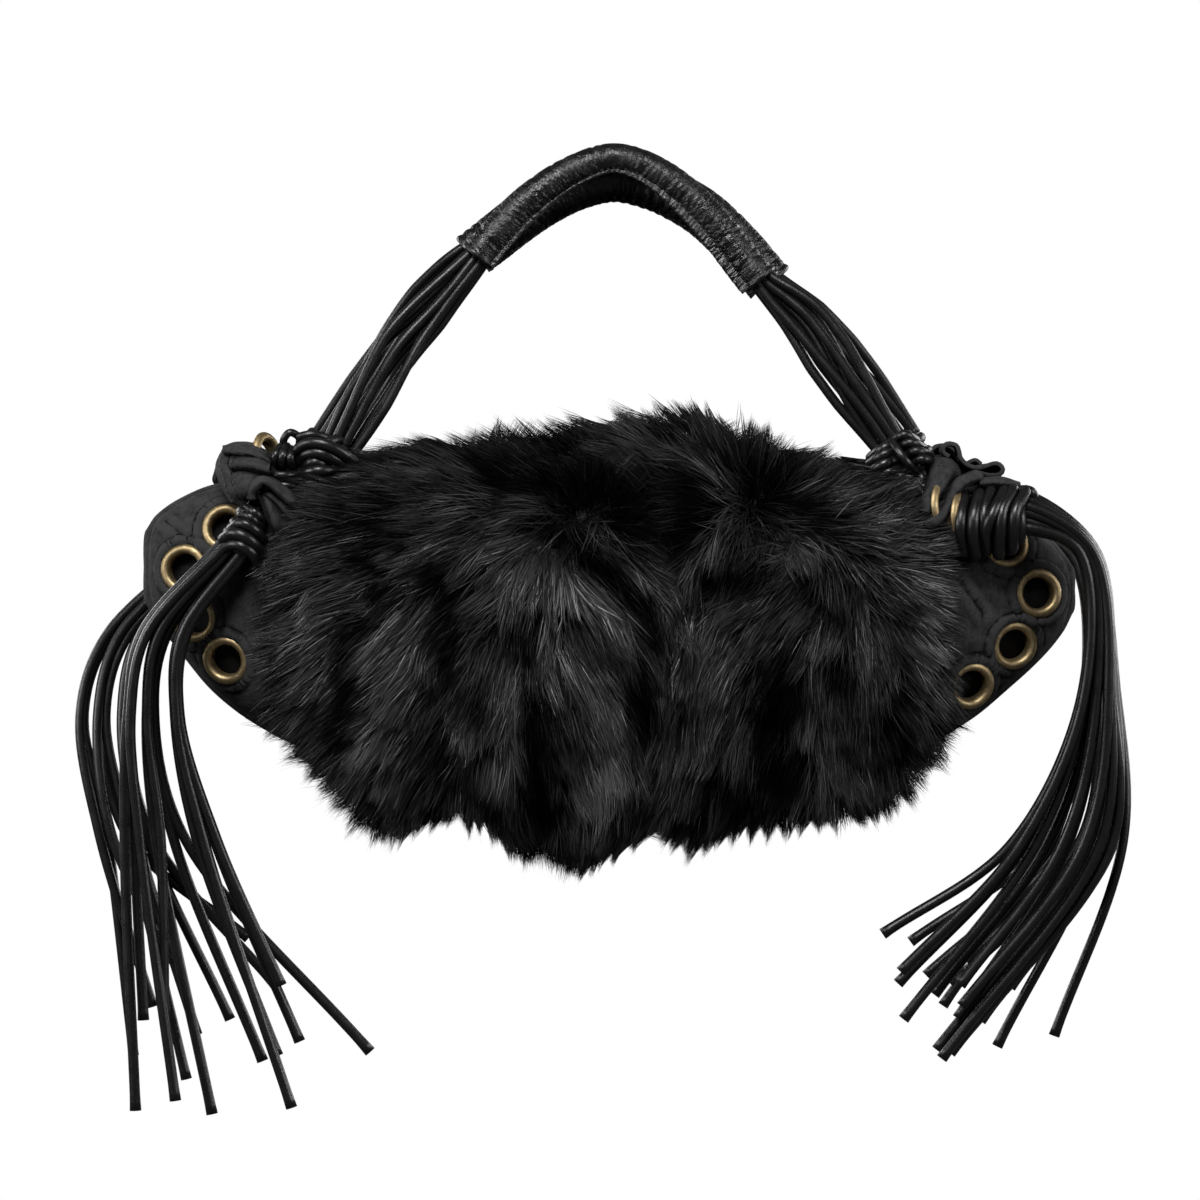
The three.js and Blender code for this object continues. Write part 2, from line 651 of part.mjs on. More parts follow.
// The gathered leather at one corner: a band that winds to and fro across the line of its pleats.
function gatheredBand(corner) {
  const aim = pleatedLine(corner).getTangent(0);
  const up = new THREE.Vector3(-aim.z, 0, aim.x).normalize();
  const across = aim.clone().cross(up);
  const line = corner.pleats.flatMap(({ along }, i) => {
    const turn = corner.fold * (i % 2 ? -1 : 1);
    const next = corner.pleats[i + 1]?.along ?? along + 7;
    const swing = (share, reach) => new THREE.Vector2(along + (next - along) * share, turn * reach);
    return [swing(0, -PLEAT_REACH), swing(0, PLEAT_REACH), swing(0.5, PLEAT_REACH + (next - along) / 3)];
  });
  const rim = (offset) =>
    line.map((p, i) => {
      const [a, b] = [line[Math.max(i - 1, 0)], line[Math.min(i + 1, line.length - 1)]];
      return p.clone().addScaledVector(new THREE.Vector2(a.y - b.y, b.x - a.x).normalize(), offset);
    });
  const outline = new THREE.Shape([...rim(LEATHER / 2), ...rim(-LEATHER / 2).reverse()]);
  const band = new THREE.ExtrudeGeometry(outline, { depth: 2 * PLEAT_REACH, bevelEnabled: false, steps: 1 });
  band.translate(0, 0, -PLEAT_REACH).applyMatrix4(new THREE.Matrix4().makeBasis(aim, up, across));
  return solidOf(band.translate(corner.crest.x, corner.crest.y, corner.crest.z));
}

// A corner's gathered leather, clear of the cords, the pouch and its own eyelets.
function gather(corner) {
  const room = (radius, height, sides) =>
    new THREE.CylinderGeometry(radius, radius, height, sides).rotateX(Math.PI / 2);
  const height = EYELET.crown + GAP;
  const seat = room(EYELET.outer + GAP, height, 8).translate(0, 0, height / 2);
  const hole = room(HOLE_RADIUS, 2 * EYELET.tail + 1, 6);
  const rooms = [
    pouchRoom,
    knotRoom(corner, GAP),
    ...neckLines(corner).map((line) => solidOf(tube(line, NECK + 4 * GAP, 8, 1))),
    ...pleatSeats(corner).flatMap(({ place, out }) =>
      [seat, hole].map((shape) => solidOf(aimed(shape, place, out))),
    ),
  ];
  return mainBody(rooms.reduce((band, taken) => band.subtract(taken), gatheredBand(corner)));
}

// --------------------------------------------------------------------------------------- model

const model = new THREE.Group();

function add(name, geometry, finish) {
  const mesh = new THREE.Mesh(geometry, finish);
  mesh.name = name;
  model.add(mesh);
  return mesh;
}

// An eyelet with its flange facing along out.
function addEyelet(name, { place, out }) {
  const ring = add(name, eyeletRing, BRASS);
  ring.position.copy(place);
  ring.quaternion.setFromUnitVectors(new THREE.Vector3(0, 0, 1), out);
}

const FACES = { front: -1, back: 1 };
const SIDES = { left: -1, right: 1 };

for (const [sideName, side] of Object.entries(SIDES)) {
  const seats = Object.values(FACES).flatMap((face) =>
    END_EYELETS[sideName].map(({ x, z }) => pouchFace(x, z, face)),
  );
  add(`end_${sideName}`, geometryOf(leatherEnd(side, seats)), NUBUCK);
  seats.forEach((seat, i) => addEyelet(`eyelet_${sideName}_${i + 1}`, seat));
}

for (const [faceName, face] of Object.entries(FACES)) {
  let fur = furPanel(face);
  for (const sideName of Object.keys(SIDES)) {
    const key = `${sideName}_${faceName}`;
    const corner = CORNERS[key];
    const pleats = pleatedLine(corner);
    const lanes = [
      new THREE.LineCurve3(point(corner.knot), point(corner.bend)),
      new THREE.LineCurve3(point(corner.bend), point(corner.barrel)),
      new THREE.LineCurve3(pleats.getPoint(-0.8), pleats.getPoint(1)),
    ];
    fur = lanes.reduce((rest, lane) => rest.subtract(solidOf(tube(lane, FUR_LANE, 8, 1))), fur);
    fur = fur.subtract(knotRoom(corner, LEATHER));
    add(`gather_${key}`, geometryOf(gather(corner)), NUBUCK);
    add(`knot_${key}`, geometryOf(handleKnot(corner)), CORD_LEATHER);
    add(`tassel_${key}`, geometryOf(mainBody(tassel(corner).subtract(knotRoom(corner, GAP)))), CORD_LEATHER);
    pleatSeats(corner).forEach((seat, i) => addEyelet(`eyelet_pleat_${key}_${i + 1}`, seat));
  }
  add(`wall_${faceName}`, faceLayer(face, () => 0, () => -LEATHER), NUBUCK);
  add(`fur_${faceName}`, geometryOf(mainBody(fur)), FUR);
}

for (const [faceName, handle] of Object.entries({ front: FRONT_HANDLE, back: BACK_HANDLE })) {
  const knots = Object.keys(SIDES).map((sideName) => CORNERS[`${sideName}_${faceName}`]);
  add(`handle_cords_${faceName}`, geometryOf(handleCords(handle, knots)), CORD_LEATHER);
  add(`grip_${faceName}`, geometryOf(grip(handle)), GRIP_LEATHER);
}

export default model;
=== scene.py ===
"""Looks of a long-haired handbag that hangs by its two arched cord handles.

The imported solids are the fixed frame. Every class below builds one sub-assembly in the frame's own
coordinates, dresses it and rides it on the frame. Sizes in the tables are millimetres, as a maker
would write them down, and become metres where a mesh is made.
"""

from __future__ import annotations

import logging
import math
from dataclasses import dataclass, field, replace
from enum import Enum
from itertools import pairwise
from typing import Iterable, Sequence

import bmesh
import bpy
import numpy as np
from mathutils import Matrix, Vector

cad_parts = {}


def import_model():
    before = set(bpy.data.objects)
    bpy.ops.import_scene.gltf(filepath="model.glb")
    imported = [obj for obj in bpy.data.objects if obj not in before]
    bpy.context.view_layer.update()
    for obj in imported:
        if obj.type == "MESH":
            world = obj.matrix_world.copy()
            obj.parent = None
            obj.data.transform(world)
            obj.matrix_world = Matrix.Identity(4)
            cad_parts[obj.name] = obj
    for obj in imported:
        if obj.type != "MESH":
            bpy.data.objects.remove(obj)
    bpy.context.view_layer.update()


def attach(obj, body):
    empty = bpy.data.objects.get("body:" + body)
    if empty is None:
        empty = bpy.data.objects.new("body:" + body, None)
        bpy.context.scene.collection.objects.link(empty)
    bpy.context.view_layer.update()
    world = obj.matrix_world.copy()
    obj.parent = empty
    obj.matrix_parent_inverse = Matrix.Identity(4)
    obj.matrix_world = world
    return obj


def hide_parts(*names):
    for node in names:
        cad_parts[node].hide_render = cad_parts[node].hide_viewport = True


LOG = logging.getLogger("handbag")

MM = 0.001  # a millimetre in metres
LEATHER = 2.0  # how thick the leather is
CORD_RADIUS = 2.3  # of the handles' and the tassels' cords
SEAM_X = 138.0  # where the fur ends and the bare leather starts
GAP = 0.4  # between the two faces where they meet
NEARLY_ALONG = 0.95  # the cosine from which two directions are taken as the same
TURN = 2 * math.pi
SIGNS = (-1.0, 1.0)  # the front and the back
BODY = "root"

Array = np.ndarray
Path = Array
Pair = tuple[float, float]
Triple = tuple[float, float, float]
Material = bpy.types.Material
Piece = bpy.types.Object
Socket = bpy.types.NodeSocket


class Place(Enum):
    """A part of the bag that has a word in the names of pieces."""

    @property
    def word(self) -> str:
        """The place's word in piece names.

        Returns:
            Its name in small letters.
        """
        return self.name.lower()


class Face(Place):
    """The two faces of the bag."""

    FRONT = -1
    BACK = 1


class Side(Place):
    """The two ends of the bag."""

    LEFT = -1
    RIGHT = 1


# ------------------------------------------------------------------------------ small geometry


def unit(vectors: Array) -> Array:
    """Vectors at length one.

    Args:
        vectors: One vector or rows of vectors.

    Returns:
        The same directions with unit length.
    """
    length = np.linalg.norm(vectors, axis=-1, keepdims=True)
    return vectors / np.maximum(length, 1e-12)


def smoothstep(values: Array, low: float, high: float) -> Array:
    """A smooth rise from 0 at low to 1 at high.

    Args:
        values: Where it is read.
        low: Where the rise starts.
        high: Where it ends.

    Returns:
        The height of the rise at each value.
    """
    t = np.clip((np.asarray(values, float) - low) / (high - low), 0.0, 1.0)
    return t * t * (3 - 2 * t)


def curve_through(points: Sequence[Sequence[float]], count: int) -> Path:
    """A smooth line through points, with its samples evenly spaced.

    Args:
        points: The points it passes, in order.
        count: How many samples are taken.

    Returns:
        The samples as rows.
    """
    stops = np.asarray(points, float)
    if len(stops) == 2:
        return np.linspace(stops[0], stops[1], count)
    padded = np.vstack([2 * stops[0] - stops[1], stops, 2 * stops[-1] - stops[-2]])
    knots = np.concatenate([[0], np.cumsum(np.linalg.norm(np.diff(padded, axis=0), axis=1) ** 0.5)])
    rows = []
    for k in range(1, len(padded) - 2):
        t = np.linspace(knots[k], knots[k + 1], 24, endpoint=False)[:, None]
        level = list(padded[k - 1 : k + 3])
        for reach, first in ((1, k - 1), (2, k - 1), (1, k)):
            level = [
                ((knots[j + reach] - t) * a + (t - knots[j]) * b) / (knots[j + reach] - knots[j])
                for j, (a, b) in enumerate(pairwise(level), first)
            ]
        rows.append(level[0])
    return evenly(np.vstack([*rows, stops[-1:]]), count)


def loop_through(points: Sequence[Sequence[float]], count: int) -> Path:
    """A smooth ring through points, with its samples evenly spaced.

    Args:
        points: The points it passes, in order.
        count: How many samples are taken.

    Returns:
        The samples as rows, without the first one again at the end.
    """
    stops = np.asarray(points, float)
    t = np.linspace(0, 1, 12, endpoint=False)[:, None]
    rows = []
    for k in range(len(stops)):
        a, b, c, d = (stops[(k + j) % len(stops)] for j in (-1, 0, 1, 2))
        square, cube = 2 * a - 5 * b + 4 * c - d, 3 * b - a - 3 * c + d
        rows.append(0.5 * (2 * b + (c - a) * t + square * t**2 + cube * t**3))
    return evenly(np.vstack([*rows, stops[:1]]), count + 1)[:-1]


def lengths_along(path: Path) -> Array:
    """How far each row of a line lies from its start.

    Args:
        path: The line as rows.

    Returns:
        The lengths.
    """
    return np.concatenate([[0], np.cumsum(np.linalg.norm(np.diff(path, axis=0), axis=1))])


def read_along(wanted: Array, run: Array, rows: Array) -> Array:
    """Rows of three, read between the samples of a line.

    Args:
        wanted: The lengths at which they are read.
        run: The samples' own lengths.
        rows: The samples.

    Returns:
        The rows at the wanted lengths.
    """
    return np.stack([np.interp(wanted, run, rows[:, k]) for k in range(3)], axis=1)


def evenly(path: Path, count: int) -> Path:
    """A line with evenly spaced samples.

    Args:
        path: The line as rows.
        count: How many samples are taken.

    Returns:
        The samples as rows.
    """
    run = lengths_along(path)
    return read_along(np.linspace(0, run[-1], count), run, path)


def carried_frames(path: Path) -> tuple[Array, Array, Array]:
    """Directions carried along a line without twist.

    Args:
        path: The line as rows.

    Returns:
        The tangents, sides and ups at each row.
    """
    tangents = unit(np.gradient(path, axis=0))
    side = np.array([0.0, 1.0, 0.0])
    if abs(np.dot(side, tangents[0])) > NEARLY_ALONG:
        side = np.array([1.0, 0.0, 0.0])
    sides = []
    for tangent in tangents:
        side = unit(side - np.dot(side, tangent) * tangent)
        sides.append(side)
    sides = np.array(sides)
    return tangents, sides, np.cross(tangents, sides)


def grid_faces(
    rows: int, columns: int, closed_rows: bool = False, closed_columns: bool = False, start: int = 0
) -> list[list[int]]:
    """Faces between the points of a grid, each wound along its row first.

    Args:
        rows: How many rows of points.
        columns: How many points in a row.
        closed_rows: Whether the last row meets the first.
        closed_columns: Whether each row's last point meets its first.
        start: The number of the first point.

    Returns:
        The faces as rows of point numbers.
    """
    faces = []
    for i in range(rows if closed_rows else rows - 1):
        a, b = start + i * columns, start + (i + 1) % rows * columns
        for j in range(columns if closed_columns else columns - 1):
            k = (j + 1) % columns
            faces.append([a + j, a + k, b + k, b + j])
    return faces


def crosswise(faces: Iterable[Sequence[int]]) -> list[list[int]]:
    """Faces turned over, each from its first point on.

    Args:
        faces: The faces as rows of four point numbers.

    Returns:
        The turned faces.
    """
    return [[a, d, c, b] for a, b, c, d in faces]


def facing(out: Array) -> Matrix:
    """The turn that takes +Z to a direction.

    Args:
        out: The direction.

    Returns:
        The turn.
    """
    return Vector(out).to_track_quat("Z", "Y").to_matrix().to_4x4()


def linked(name: str, data: bpy.types.ID) -> Piece:
    """A new object in the scene.

    Args:
        name: Its name.
        data: Its mesh, light or camera.

    Returns:
        The object.
    """
    piece = bpy.data.objects.new(name, data)
    bpy.context.scene.collection.objects.link(piece)
    return piece


def shade_smooth(mesh: bpy.types.Mesh) -> None:
    """Shades every face of a mesh smooth.

    Args:
        mesh: The mesh.
    """
    mesh.polygons.foreach_set("use_smooth", [True] * len(mesh.polygons))


def piece_from(
    name: str,
    points: Array,
    faces: Iterable[Sequence[int]],
    finish: Material,
    uvs: Array | None = None,
) -> Piece:
    """A mesh object in the frame's coordinates.

    Args:
        name: The piece's name.
        points: Its points, in millimetres.
        faces: Its faces as rows of point numbers.
        finish: Its material.
        uvs: A UV pair for each point, or none.

    Returns:
        The new object.
    """
    mesh = bpy.data.meshes.new(name)
    mesh.from_pydata((np.asarray(points, float) * MM).tolist(), [], [list(map(int, f)) for f in faces])
    mesh.materials.append(finish)
    if uvs is not None:
        loops = np.empty(len(mesh.loops), dtype=np.int32)
        mesh.loops.foreach_get("vertex_index", loops)
        layer = mesh.uv_layers.new(name="UVMap")
        layer.data.foreach_set("uv", np.asarray(uvs, np.float32)[loops].ravel())
    shade_smooth(mesh)
    mesh.update()
    return linked(name, mesh)


def only_active(piece: Piece) -> None:
    """Selects one object alone and makes it the active one.

    Args:
        piece: The object to work on.
    """
    bpy.ops.object.select_all(action="DESELECT")
    piece.select_set(True)
    bpy.context.view_layer.objects.active = piece


def apply_modifiers(piece: Piece) -> None:
    """Applies every modifier of a piece in order.

    Args:
        piece: The piece to finish.
    """
    only_active(piece)
    for modifier in list(piece.modifiers):
        bpy.ops.object.modifier_apply(modifier=modifier.name)


def thickened(piece: Piece, thickness: float, offset: float) -> None:
    """Gives a sheet its wall, as a modifier that is still to be applied.

    Args:
        piece: The sheet.
        thickness: How thick the wall is, in millimetres.
        offset: -1 for a wall behind the sheet and 0 for one about it.
    """
    wall = piece.modifiers.new("wall", "SOLIDIFY")
    wall.thickness = thickness * MM
    wall.offset = offset


def joined(name: str, parts: Sequence[Piece]) -> Piece:
    """Several meshes as one object.

    Args:
        name: The name of the result.
        parts: The objects to join.

    Returns:
        The joined object.
    """
    only_active(parts[0])
    for part in parts:
        part.select_set(True)
    bpy.ops.object.join()
    whole = bpy.context.view_layer.objects.active
    whole.name = name
    whole.data.name = name
    return whole


def settle(piece: Piece, replaced: Sequence[str] = ()) -> Piece:
    """Rides a finished piece on the frame and what it stands for.

    Args:
        piece: The finished piece.
        replaced: The frame nodes that it stands for.

    Returns:
        The same piece.
    """
    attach(piece, BODY)
    if replaced:
        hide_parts(*replaced)
    LOG.info("%s: %d faces", piece.name, len(piece.data.polygons))
    return piece


@dataclass
class TubeRun:
    """Round cords gathered into one mesh.

    Attributes:
        sides: How many sides a cord has.
        grain: How many millimetres of cord one unit of its map covers.
        cut_radii: Shares of the radius over a cut end, from its core outwards.
        cut_dish: How far the core and the ring round it are sunk.
        map_shift: How far the map of one cord lies from the last one's.
        points: The points so far, cord by cord.
        faces: The faces so far.
        uvs: The points' maps so far.
        start: How many points there are.
    """

    sides: int = 10
    grain: float = 20.0
    cut_radii: Triple = (0.001, 0.62, 0.97)
    cut_dish: Pair = (0.5, 0.35)
    map_shift: Pair = (2.0, 0.37)
    points: list[Array] = field(default_factory=list)
    faces: list[list[int]] = field(default_factory=list)
    uvs: list[Array] = field(default_factory=list)
    start: int = 0

    def add(self, path: Path, radius: float | Array, cut: bool = True, closed: bool = False) -> None:
        """Adds one cord.

        Args:
            path: Its middle line, in millimetres.
            radius: Its radius, or one for each row of the line.
            cut: Whether its ends are cut flat with a small dished core.
            closed: Whether the line is a ring.
        """
        line = np.asarray(path, float)
        radii = np.broadcast_to(np.asarray(radius, float), (len(line),)).copy()
        tangents, sides, ups = carried_frames(line)
        if closed:
            tangents = unit(np.roll(line, -1, axis=0) - np.roll(line, 1, axis=0))
            sides = unit(sides - np.sum(sides * tangents, axis=1, keepdims=True) * tangents)
            ups = np.cross(tangents, sides)
        elif cut:
            over = [0] * 3 + list(range(len(line))) + [-1] * 3
            line, tangents, sides, ups = line[over], tangents[over], sides[over], ups[over]
            first, last = self.cut_radii * radii[:1], self.cut_radii[::-1] * radii[-1:]
            radii = np.concatenate([first, radii, last])
            for row, inward in enumerate(self.cut_dish):
                line[row] = line[row] + tangents[row] * inward
                line[-1 - row] = line[-1 - row] - tangents[-1 - row] * inward
        m = len(line)
        turn = np.arange(self.sides) * TURN / self.sides
        ring = sides[:, None] * np.cos(turn)[None, :, None] + ups[:, None] * np.sin(turn)[None, :, None]
        self.points.append((line[:, None] + ring * radii[:, None, None]).reshape(-1, 3))
        across = np.abs(np.linspace(-1, 1, self.sides, endpoint=False))
        along = lengths_along(line) / self.grain
        uv = np.stack(np.broadcast_arrays(across[None, :], along[:, None]), axis=2)
        self.uvs.append((uv + np.array(self.map_shift) * len(self.points)).reshape(-1, 2))
        self.faces += grid_faces(m, self.sides, closed, True, self.start)
        if not closed:
            cap = list(range(self.start, self.start + self.sides))
            self.faces.append(cap[::-1])
            self.faces.append([number + (m - 1) * self.sides for number in cap])
        self.start += m * self.sides

    def build(self, name: str, finish: Material) -> Piece:
        """The gathered cords as one object.

        Args:
            name: The object's name.
            finish: Its material.

        Returns:
            The new object.
        """
        return piece_from(name, np.vstack(self.points), self.faces, finish, np.vstack(self.uvs))


# -------------------------------------------------------------------------------------- finishes


class Bench:
    """A material's node tree while it is laid out.

    Attributes:
        material: The material.
        tree: Its nodes and links.
        shader: Its one shader.
    """

    def __init__(self, name: str) -> None:
        """Starts a material with one shader.

        Args:
            name: The material's name.
        """
        self.material = bpy.data.materials.new(name)
        self.material.use_nodes = True
        self.tree = self.material.node_tree
        self.tree.nodes.clear()
        self.shader = self.tree.nodes.new("ShaderNodeBsdfPrincipled")
        output = self.tree.nodes.new("ShaderNodeOutputMaterial")
        self.tree.links.new(self.shader.outputs[0], output.inputs["Surface"])

    def put(
        self, kind: str, inputs: dict[str | int, object] | None = None, **settings: object
    ) -> bpy.types.Node:
        """Adds a node.

        Args:
            kind: The node's type, without its prefix.
            inputs: Values or sockets for its inputs, by name or place.
            settings: Properties of the node.

        Returns:
            The new node.
        """
        node = self.tree.nodes.new("ShaderNode" + kind)
        for key, value in settings.items():
            setattr(node, key, value)
        for key, value in (inputs or {}).items():
            self.feed(node.inputs[key], value)
        return node

    def feed(self, socket: Socket, value: object) -> None:
        """Links a socket or sets its value.

        Args:
            socket: The input.
            value: An output to link from, or a plain value.
        """
        if isinstance(value, Socket):
            self.tree.links.new(value, socket)
        else:
            socket.default_value = value

    def shade(self, **values: object) -> None:
        """Feeds the shader's inputs.

        Args:
            values: Values by input name, with _ for a space.
        """
        for key, value in values.items():
            self.feed(self.shader.inputs[key.replace("_", " ")], value)

    def place(self, stretch: Sequence[float] = (1, 1, 1)) -> Socket:
        """Object coordinates, stretched.

        Args:
            stretch: The scale along each axis.

        Returns:
            The socket with the coordinates.
        """
        place = self.put("TexCoord").outputs["Object"]
        return self.put("Mapping", {"Vector": place, "Scale": tuple(stretch)}).outputs[0]

    def map(self, stretch: Sequence[float] = (1, 1, 1)) -> Socket:
        """The piece's own map, stretched.

        Args:
            stretch: The scale along each axis.

        Returns:
            The socket with the coordinates.
        """
        place = self.put("UVMap", uv_map="UVMap").outputs[0]
        return self.put("Mapping", {"Vector": place, "Scale": tuple(stretch)}).outputs[0]

    def noise(self, where: Socket, scale: float, detail: float = 3, rough: float = 0.5) -> Socket:
        """A cloudy pattern.

        Args:
            where: Its coordinates.
            scale: Its fineness.
            detail: Its octaves.
            rough: How strong the fine octaves are.

        Returns:
            The socket with its height.
        """
        inputs = {"Vector": where, "Scale": scale, "Detail": detail, "Roughness": rough}
        return self.put("TexNoise", inputs).outputs["Fac"]

    def ramp(self, where: Socket, stops: Sequence[tuple[float, Sequence[float]]]) -> Socket:
        """Colours along a value.

        Args:
            where: The value.
            stops: Places and colours.

        Returns:
            The socket with the colour.
        """
        node = self.put("ValToRGB", {"Fac": where})
        elements = node.color_ramp.elements
        while len(elements) < len(stops):
            elements.new(0.5)
        for element, (place, colour) in zip(elements, stops):
            element.position = place
            element.color = (*colour, 1.0)
        return node.outputs["Color"]

    def spread(self, where: Socket, low: float, high: float, start: float = 0.0, end: float = 1.0) -> Socket:
        """A value mapped to another range.

        Args:
            where: The value.
            low: The result at start.
            high: The result at end.
            start: Where the range starts.
            end: Where it ends.

        Returns:
            The socket with the result.
        """
        inputs = {"Value": where, "From Min": start, "From Max": end, "To Min": low, "To Max": high}
        return self.put("MapRange", inputs).outputs[0]

    def sum(self, parts: Sequence[tuple[Socket, float]]) -> Socket:
        """A weighted sum of heights.

        Args:
            parts: Sockets and their weights.

        Returns:
            The socket with the sum.
        """
        total = None
        for socket, weight in parts:
            inputs = {0: socket, 1: weight, 2: total if total is not None else 0.0}
            total = self.put("Math", inputs, operation="MULTIPLY_ADD").outputs[0]
        return total

    def relief(self, height: Socket, depth: float, strength: float = 1.0) -> None:
        """Bumps the surface.

        Args:
            height: The relief's height.
            depth: The depth of a height of one, in millimetres.
            strength: How strongly it is felt.
        """
        bump = self.put("Bump", {"Height": height, "Distance": depth * MM, "Strength": strength})
        self.feed(self.shader.inputs["Normal"], bump.outputs[0])


@dataclass(frozen=True)
class Finish:
    """What every finish has.

    Attributes:
        name: The material's name.
    """

    name: str

    def build(self) -> Material:
        """Makes the finish.

        Returns:
            Its material.
        """
        bench = Bench(self.name)
        self.lay_out(bench)
        return bench.material

    def lay_out(self, bench: Bench) -> None:
        """Lays out the finish's nodes.

        Args:
            bench: The material's node tree.
        """
        raise NotImplementedError


@dataclass(frozen=True)
class HairFinish(Finish):
    """Glossy black hair, darkened towards its roots as painted shade; the piece's map holds tone and length.

    Attributes:
        gloss: How strongly it mirrors.
        rough: Its roughness where it is darkest and palest.
        dark: The darkest hairs.
        middle: Hairs of middle tone.
        pale: The palest hairs.
    """

    gloss: float
    rough: Pair = (0.75, 0.38)
    dark: Triple = (0.0004, 0.0004, 0.00042)
    middle: Triple = (0.009, 0.009, 0.0094)
    pale: Triple = (0.062, 0.062, 0.0635)

    def lay_out(self, bench: Bench) -> None:
        """Lays out the hair's nodes.

        Args:
            bench: The material's node tree.
        """
        split = bench.put("SeparateXYZ", {0: bench.map()})
        tone = bench.ramp(split.outputs[0], [(0.0, self.dark), (0.45, self.middle), (1.0, self.pale)])
        # Painted shade: the colour falls to near black towards each hair's root, where the hair shades
        # itself.
        root = bench.spread(split.outputs[1], 0.03, 1.0, 0.12, 0.75)
        colour = bench.put("VectorMath", {0: tone, "Scale": root}, operation="SCALE").outputs[0]
        rough = bench.spread(split.outputs[0], *self.rough, 0.12, 0.6)
        bench.shade(Base_Color=colour, Roughness=rough, Specular_IOR_Level=self.gloss)


HAIR_DEPTHS = (0.2, 0.38, 0.6)  # the tones from which a hair takes the next of its finishes
# Gloss follows each hair's tone: the dark hairs, partly painted shade in the dips, barely mirror, and the
# pale hairs, partly painted highlight on the crests, mirror most.
HAIR_GLOSS = {"hair_shaded_matt": 0.02, "hair_low": 0.1, "hair_middle": 0.24, "hair_glossy": 0.38}


def hair_depths() -> tuple[Material, ...]:
    """The hair's materials from its darkest, matt hairs to its glossy ones; the dark, matt ones add to the
    painted shade in the billows' dips.

    Returns:
        The materials, darkest first.
    """
    return tuple(HairFinish(name, gloss).build() for name, gloss in HAIR_GLOSS.items())


@dataclass(frozen=True)
class PlainFinish(Finish):
    """A dark matte ground that is seen only between other things.

    Attributes:
        tone: Its mean colour.
        rough: Its roughness.
    """

    tone: Triple
    rough: float = 0.95

    def lay_out(self, bench: Bench) -> None:
        """Lays out the ground's nodes.

        Args:
            bench: The material's node tree.
        """
        cloud = bench.noise(bench.place(), 900, 4, 0.7)
        low = tuple(0.6 * c for c in self.tone)
        bench.shade(Base_Color=bench.ramp(cloud, [(0.3, low), (0.7, self.tone)]), Roughness=self.rough)
        bench.relief(cloud, 0.3)


@dataclass(frozen=True)
class NubuckFinish(Finish):
    """Charcoal leather with a brushed nap: cloudy tone, fine pores, a soft sheen, paler rubbed edges and
    painted shade in its creases.

    Attributes:
        dark: Its darkest colour, to which the painted shade brings its creases.
        pale: Its colour on the rubbed edges.
    """

    name: str = "charcoal_nubuck"
    dark: Triple = (0.0035, 0.0035, 0.0038)
    pale: Triple = (0.033, 0.033, 0.0345)

    def lay_out(self, bench: Bench) -> None:
        """Lays out the nubuck's nodes.

        Args:
            bench: The material's node tree.
        """
        place = bench.place()
        cloud = bench.noise(place, 85, 5, 0.7)
        nap = bench.noise(bench.place((1.0, 1.0, 0.6)), 420, 4, 0.7)
        grain = bench.noise(place, 2600, 2, 0.6)
        # Pointiness pales the convex edges as rubbed wear and darkens the concave creases as painted shade;
        # the ambient occlusion below darkens creases and recesses as painted shade.
        edge = bench.spread(bench.put("NewGeometry").outputs["Pointiness"], -0.16, 0.2, 0.44, 0.56)
        painted_crease_shade = bench.put("AmbientOcclusion", {"Distance": 0.007}, samples=12).outputs["AO"]
        painted_crease_shade = bench.spread(painted_crease_shade, -0.3, 0.04, 0.25, 0.9)
        tone = bench.sum([(cloud, 0.40), (nap, 0.42), (grain, 0.18), (edge, 1.0), (painted_crease_shade, 1.0)])
        bench.shade(
            Base_Color=bench.ramp(tone, [(0.4, self.dark), (0.64, self.pale)]),
            Roughness=bench.spread(nap, 0.72, 0.9),
            Specular_IOR_Level=0.06,
            Sheen_Weight=0.05,
            Sheen_Roughness=0.45,
            Sheen_Tint=(0.75, 0.75, 0.8, 1.0),
        )
        bench.relief(bench.sum([(cloud, 2.4), (nap, 1.0), (grain, 0.3)]), 0.5)


@dataclass(frozen=True)
class CordFinish(Finish):
    """Smooth dyed leather cord: a drawn grain along its run and a soft gloss.

    Attributes:
        dark: The colour between its grain.
        pale: The colour of its grain.
    """

    name: str = "black_leather_cord"
    dark: Triple = (0.0022, 0.0022, 0.0023)
    pale: Triple = (0.0075, 0.0075, 0.0078)

    def lay_out(self, bench: Bench) -> None:
        """Lays out the cord's nodes.

        Args:
            bench: The material's node tree.
        """
        drawn = bench.noise(bench.map((9.0, 1.1, 1.0)), 4.0, 4, 0.6)
        pores = bench.noise(bench.place(), 1500, 3, 0.6)
        cloud = bench.noise(bench.place(), 120, 3, 0.5)
        bench.shade(
            Base_Color=bench.ramp(drawn, [(0.35, self.dark), (0.75, self.pale)]),
            Roughness=bench.spread(bench.sum([(cloud, 0.5), (pores, 0.5)]), 0.2, 0.4, 0.3, 0.7),
            Specular_IOR_Level=0.42,
        )
        bench.relief(bench.sum([(drawn, 0.6), (pores, 0.4)]), 0.11)


